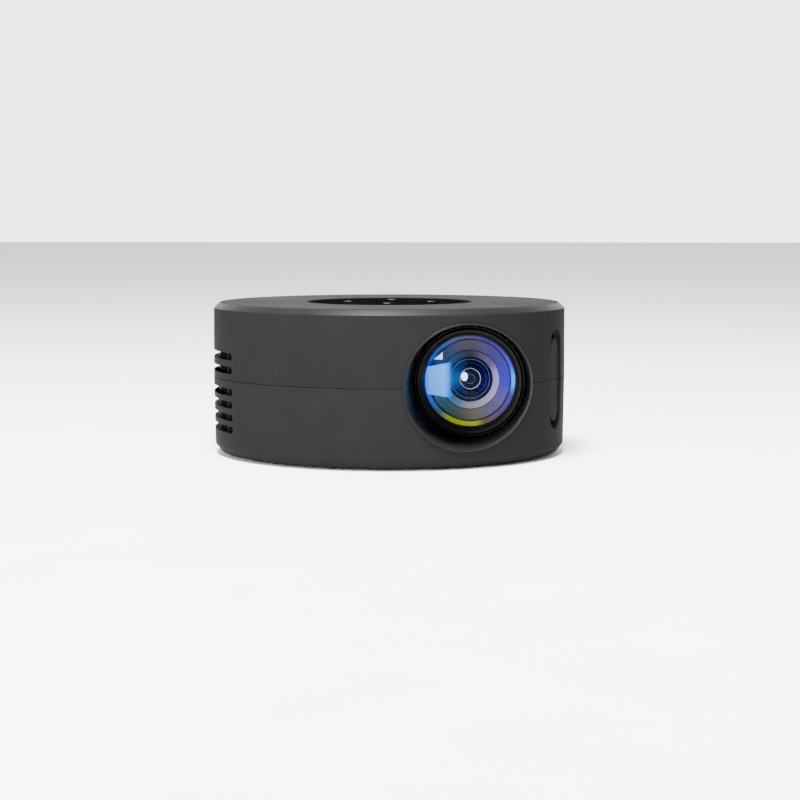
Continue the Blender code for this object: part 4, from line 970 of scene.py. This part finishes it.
def power_key():
    low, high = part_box("key_power")
    flange = 0.6 * MM
    outer = (high.x - low.x) / 2 - flange
    ledge = low.z + 1.0 * MM
    dish = 0.35 * MM
    profile = [(0, low.z), (outer + flange, low.z), (outer + flange, ledge), (outer, ledge)]
    profile += [(outer, high.z, 0.3 * MM)]
    shares = (0.9, 0.75, 0.6, 0.45, 0.3, 0.15, 0)
    profile += [(outer * share, high.z - dish * (1 - share * share)) for share in shares]
    key = turned("key_centre", fillets(profile), 96)
    groove = high.z - dish - 0.12 * MM
    in_groove = Matrix.Translation((0, 0, groove))
    ring = turned("mark_ring", scaled([(1.5, 0), (1.9, 0), (1.9, 2), (1.5, 2)]), 64, in_groove)
    bar = block("mark_bar", (-0.2 * MM, 0.6 * MM, groove), (0.2 * MM, 2.6 * MM, groove + 2 * MM))
    show(cut(key, ring, bar), "key_power")
    paint = 0.06
    ring = turned("power_mark", scaled([(1.53, 0), (1.87, 0), (1.87, paint), (1.53, paint)]), 64, in_groove)
    near, far = (-0.17 * MM, 0.63 * MM, groove), (0.17 * MM, 1.5 * MM, groove + paint * MM)
    stroke = block("power_stroke", near, far)
    for piece in (ring, stroke):
        show(piece, look=MARK_PAINT, body=BODY_OF["key_power"])


def ring_keys():
    """The four keys round the power key, each with a printed arrow."""
    low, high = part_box("key_power")
    ledge = low.z + 1.0 * MM
    for name, angle in KEY_ANGLES.items():
        cap = ring_part(8.4 * MM, 16.6 * MM, angle, 2.4 * MM, 0.9 * MM)
        skirt = ring_part(7.8 * MM, 17.2 * MM, angle, 1.2 * MM, 0.9 * MM)
        key = raised("cap_" + name, [(skirt, low.z), (skirt, ledge), (cap, ledge), (cap, high.z - 0.05 * MM)])
        show(soften(key, 0.25 * MM), name)
        mark = arrow(outward(angle) * 12.6 * MM, angle, 1.44 * MM)
        mark = prism(name + "_mark", mark, high.z - 0.12 * MM, high.z - 0.01 * MM)
        show(mark, look=MARK_PAINT, body=BODY_OF[name])


# ---------------------------------------------------------------- lens

LENS_STEPS = 192


def on_lens(name, profile, steps=LENS_STEPS):
    """A profile of (radius, distance in front of the middle) in millimetres, turned about the lens axis."""
    return turned(name, scaled([tuple(point) for point in profile]), steps, LENS_PLACE)


def lens_bezel():
    """A ring whose rounded lip follows the drum."""
    outer, mouth = BEZEL_RADIUS, BEZEL_RADIUS - 0.7 * MM
    round_off = 0.34 * MM
    front = RADIUS + 0.3 * MM
    angles = [2 * math.pi * step / LENS_STEPS for step in range(LENS_STEPS)]

    def flat_loop(radius, distance):
        return [
            (LENS.x + radius * math.cos(turn), -distance * MM, LENS.z + radius * math.sin(turn))
            for turn in angles
        ]

    def lip_loop(radius, back):
        points = []
        for turn in angles:
            x = LENS.x + radius * math.cos(turn)
            points.append((x, -math.sqrt(front * front - x * x) + back, LENS.z + radius * math.sin(turn)))
        return points

    turns = [math.pi / 2 * step / 5 for step in range(6)]
    bend = [(round_off * (1 - math.cos(turn)), round_off * (1 - math.sin(turn))) for turn in turns]
    loops = [flat_loop(outer, 24.0)]
    loops += [lip_loop(outer - inward, back) for inward, back in bend]
    loops += [lip_loop(mouth + inward, back) for inward, back in reversed(bend)]
    deep = [(17.3, 31.0), (17.1, 29.6), (16.85, 28.2), (16.5, 26.0), (16.5, 24.0)]
    loops += [flat_loop(radius * MM, distance) for radius, distance in deep]
    show(skin("bezel_ring", loops, joined=True), "lens_bezel")


def focus_ring():
    """A ring with a knurled grip in front. Each row is (radius, distance, share of the teeth's height)."""
    teeth, samples = 40, 8
    steps = teeth * samples
    wave = [0.0, 0.5, 1.0, 1.0, 1.0, 0.5, 0.0, 0.0]
    inner, root, tip = 15.3, 15.75, 16.2
    rows = [
        (inner, 26.0, 0.0),
        (inner + 0.15, 26.2, 0.0),
        (root - 0.1, 26.2, 0.0),
        (root, 26.1, 0.6),
        (root, 25.8, 1.0),
        (root, 21.6, 1.0),
        (root, 21.2, 0.4),
        (root, 21.1, 0.0),
        (root, 12.0, 0.0),
        (13.3, 12.0, 0.0),
        (13.3, 17.7, 0.0),
        (inner, 17.7, 0.0),
    ]
    loops = []
    for radius, distance, share in rows:
        loop = []
        for step in range(steps):
            turn = 2 * math.pi * step / steps
            reach = (radius + (tip - root) * share * wave[step % samples]) * MM
            loop.append((reach * math.cos(turn), reach * math.sin(turn), distance * MM))
        loops.append(loop)
    show(skin("knurled_ring", loops, joined=True, place=LENS_PLACE), "focus_ring")


def barrel():
    profile = fillets(
        [
            (14.1, 27.4, 0.12),
            (14.45, 27.4, 0.05),
            (14.55, 27.25, 0.05),
            (14.65, 27.4, 0.05),
            (15.0, 27.4, 0.16),
            (15.0, 20.0),
            (13.0, 20.0),
            (13.0, 3.0),
            (10.4, 3.0),
            (10.4, 4.0),
            (11.2, 4.0),
            (11.2, 17.3),
            (12.0, 17.3),
            (12.0, 21.2),
            (14.1, 21.2),
        ],
        closed=True,
        steps=3,
    )
    show(on_lens("barrel", profile), "lens_barrel")
    ridges = []
    for step in range(5):
        ridges += [(13.86 - 0.14 * step, 27.0 - 0.45 * step), (13.8 - 0.14 * step, 26.75 - 0.45 * step)]
    profile = [(13.88, 27.1), *ridges, (13.1, 24.9), (13.1, 24.4), (13.9, 24.4)]
    show(on_lens("retainer", profile), "lens_retainer")


def dome(radius, front, bulge, steps=14):
    """Points from the axis out to the rim of a domed face."""
    ball = (radius * radius + bulge * bulge) / (2 * bulge)
    reach = [radius * step / steps for step in range(steps + 1)]
    return [(r, front - ball + bulge + math.sqrt(ball * ball - r * r)) for r in reach]


def glass():
    face = dome(13.8, 24.1, 2.6, 24)
    show(on_lens("front_glass", [*face, (13.8, 23.6), (0, 25.7)]), "front_lens", look=PAINTED_REFLECTION_GLASS)
    # The baffle behind the front glass carries the coating's colours and painted reflections
    rings = [(6.6, 18.6), (6.75, 18.75), (8.3, 19.5), (8.5, 19.35), (8.7, 19.6), (11.5, 20.8)]
    rings += [(11.75, 20.6), (11.95, 20.85), (12.2, 21.6), (13.6, 22.6)]
    rings += [(13.6, 22.2), (11.9, 21.3), (11.6, 17.6), (6.6, 17.6)]
    show(on_lens("dished_baffle", rings), "lens_baffle", look=FINISHES["glass"])
    face = [*dome(2.8, 16.4, 0.75), (2.95, 16.45), (3.1, 16.3), (4.4, 16.55), (4.6, 16.4)]
    back = [(5.4, 16.7), (6.4, 17.0), (10.8, 16.0), (10.8, 13.6), (0, 14.6)]
    show(on_lens("middle_glass", [*face, *back], 128), "middle_lens", look=DEEP_GLASS)


# ---------------------------------------------------------------- sockets


# Node, wall, corner radius, depth, tongue thickness, contacts, half a contact's width and its length
SOCKETS = (
    ("usb_socket", 0.4, 0.7, 13.0, 1.8, 4, 0.5, 6.0),
    ("power_socket", 0.3, 0.6, 5.0, 0.6, 5, 0.2, 3.0),
)


def tube_box(name, low, high, wall, corner, depth):
    """A pressed rectangular tube, open towards the back of the projector."""
    outer = fillets(rectangle(low.x, low.z, high.x, high.z, corner), True)
    inner = fillets(rectangle(low.x + wall, low.z + wall, high.x - wall, high.z - wall, corner / 2), True)
    loops = [(outer, low.y), (outer, high.y - 0.1 * MM), (inner, high.y), (inner, high.y - depth)]
    return skin(name, [[(x, y, z) for x, z in loop] for loop, y in loops])


def sockets():
    for node, wall, corner, depth, tongue, contacts, half_pin, pin_length in SOCKETS:
        low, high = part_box(node)
        show(tube_box(node + "_shell", low, high, wall * MM, corner * MM, depth * MM), node)
        middle_x, middle_z = (low.x + high.x) / 2, low.z + (high.z - low.z) * 0.58
        half = (high.x - low.x) / 2 - (wall + 0.7) * MM
        thick = tongue / 2 * MM
        reach = high.y - 1 * MM
        near = (middle_x - half, low.y + 1 * MM, middle_z - thick)
        bar = block(node + "_tongue", near, (middle_x + half, reach, middle_z + thick), 0.12 * MM)
        show(bar, look=SOCKET_PLASTIC, body="casing")
        under = middle_z - thick - 0.08 * MM
        for number in range(contacts):
            x = middle_x + half * 1.5 * ((number + 0.5) / contacts - 0.5)
            near = (x - half_pin * MM, reach - pin_length * MM, under)
            far = (x + half_pin * MM, reach - 0.6 * MM, under + 0.3 * MM)
            show(block(f"{node}_pin_{number}", near, far, 0.03 * MM), look=GOLD, body="casing")


def audio_jack():
    body = block("jack_body", jack_low, (jack_high.x, 46.3 * MM, jack_high.z), 0.2 * MM)
    collar = fillets([(0, 45.5), (2.7, 45.5), (2.7, 48.4, 0.2), (0, 48.4)])
    collar = turned("jack_collar", scaled(collar), 72, JACK_PLACE)
    bore = scaled([(0, 39.5), (1.8, 39.5), (1.8, 48.1), (2.0, 48.41), (2.0, 50), (0, 50)])
    show(cut(join(body, collar), turned("jack_bore", bore, 72, JACK_PLACE)), "audio_jack")
    ring = scaled([(1.55, 46.5), (1.79, 46.5), (1.79, 47.9), (1.55, 47.9)])
    show(turned("jack_contact", ring, 72, JACK_PLACE), look=FINISHES["port"], body="casing")


upper_shell()
lower_shell()
feet()
case_screws()
control_panel()
power_key()
ring_keys()
lens_bezel()
focus_ring()
barrel()
glass()
sockets()
audio_jack()

for name, shape in frame["nodes"].items():
    shape.data.materials.clear()
    shape.data.materials.append(FINISHES[SLOT_OF[name]])

# ---------------------------------------------------------------- stage, lights and camera


def floor():
    material, tree, shader, place = start("pale_floor")
    grain = noise(tree, place, 40.0)
    share = spread(tree, grain, 0.3, 0.7, 0, 1)
    fill(tree, shader.inputs["Base Color"], blend(tree, share, tone(238), tone(242)))
    fill(tree, shader.inputs["Roughness"], spread(tree, grain, 0.3, 0.7, 0.6, 0.7))
    sheet = bpy.data.meshes.new("floor")
    sheet.from_pydata([(-4, -4, 0), (4, -4, 0), (4, 4, 0), (-4, 4, 0)], [], [(0, 1, 2, 3)])
    sheet.materials.append(material)
    ground = bpy.data.objects.new("floor", sheet)
    bpy.context.scene.collection.objects.link(ground)


AIM = Vector((0, 0, 0.03))


def softbox(name, place, width, height, power):
    lamp = bpy.data.lights.new(name, "AREA")
    lamp.shape = "RECTANGLE"
    lamp.size, lamp.size_y = width, height
    lamp.energy = power
    made = bpy.data.objects.new(name, lamp)
    made.location = place
    made.rotation_euler = (AIM - Vector(place)).to_track_quat("-Z", "Y").to_euler()
    bpy.context.scene.collection.objects.link(made)


def camera():
    distance, height = 0.595, 0.0717
    azimuth, pitch, yaw = 3.3, 5.44, 0.31
    lens = bpy.data.cameras.new("camera")
    lens.lens = 89.3
    lens.sensor_width = 36.0
    lens.clip_start = 0.01
    made = bpy.data.objects.new("camera", lens)
    turn = math.radians(azimuth)
    made.location = (distance * math.sin(turn), -distance * math.cos(turn), height)
    made.rotation_euler = (math.radians(90 - pitch), 0, math.radians(azimuth - yaw))
    bpy.context.scene.collection.objects.link(made)
    bpy.context.scene.camera = made


def world():
    """A white studio, brightest behind the projector."""
    sky = bpy.data.worlds.new("studio")
    sky.use_nodes = True
    tree = sky.node_tree
    towards = tree.nodes.new("ShaderNodeTexCoord").outputs["Generated"]
    parts = add(tree, "SeparateXYZ", Vector=towards).outputs
    backdrop = tree.nodes["Background"]
    backdrop.inputs["Color"].default_value = (1.0, 1.0, 1.0, 1.0)
    fill(tree, backdrop.inputs["Strength"], spread(tree, parts[1], 0.6, 0.95, 1.1, 4.0))
    bpy.context.scene.world = sky


floor()
softbox("side", (-0.42, -0.80, 0.20), 0.25, 0.35, 12.0)
softbox("top", (-0.06, -0.29, 0.83), 0.3, 0.3, 60.0)
world()
camera()
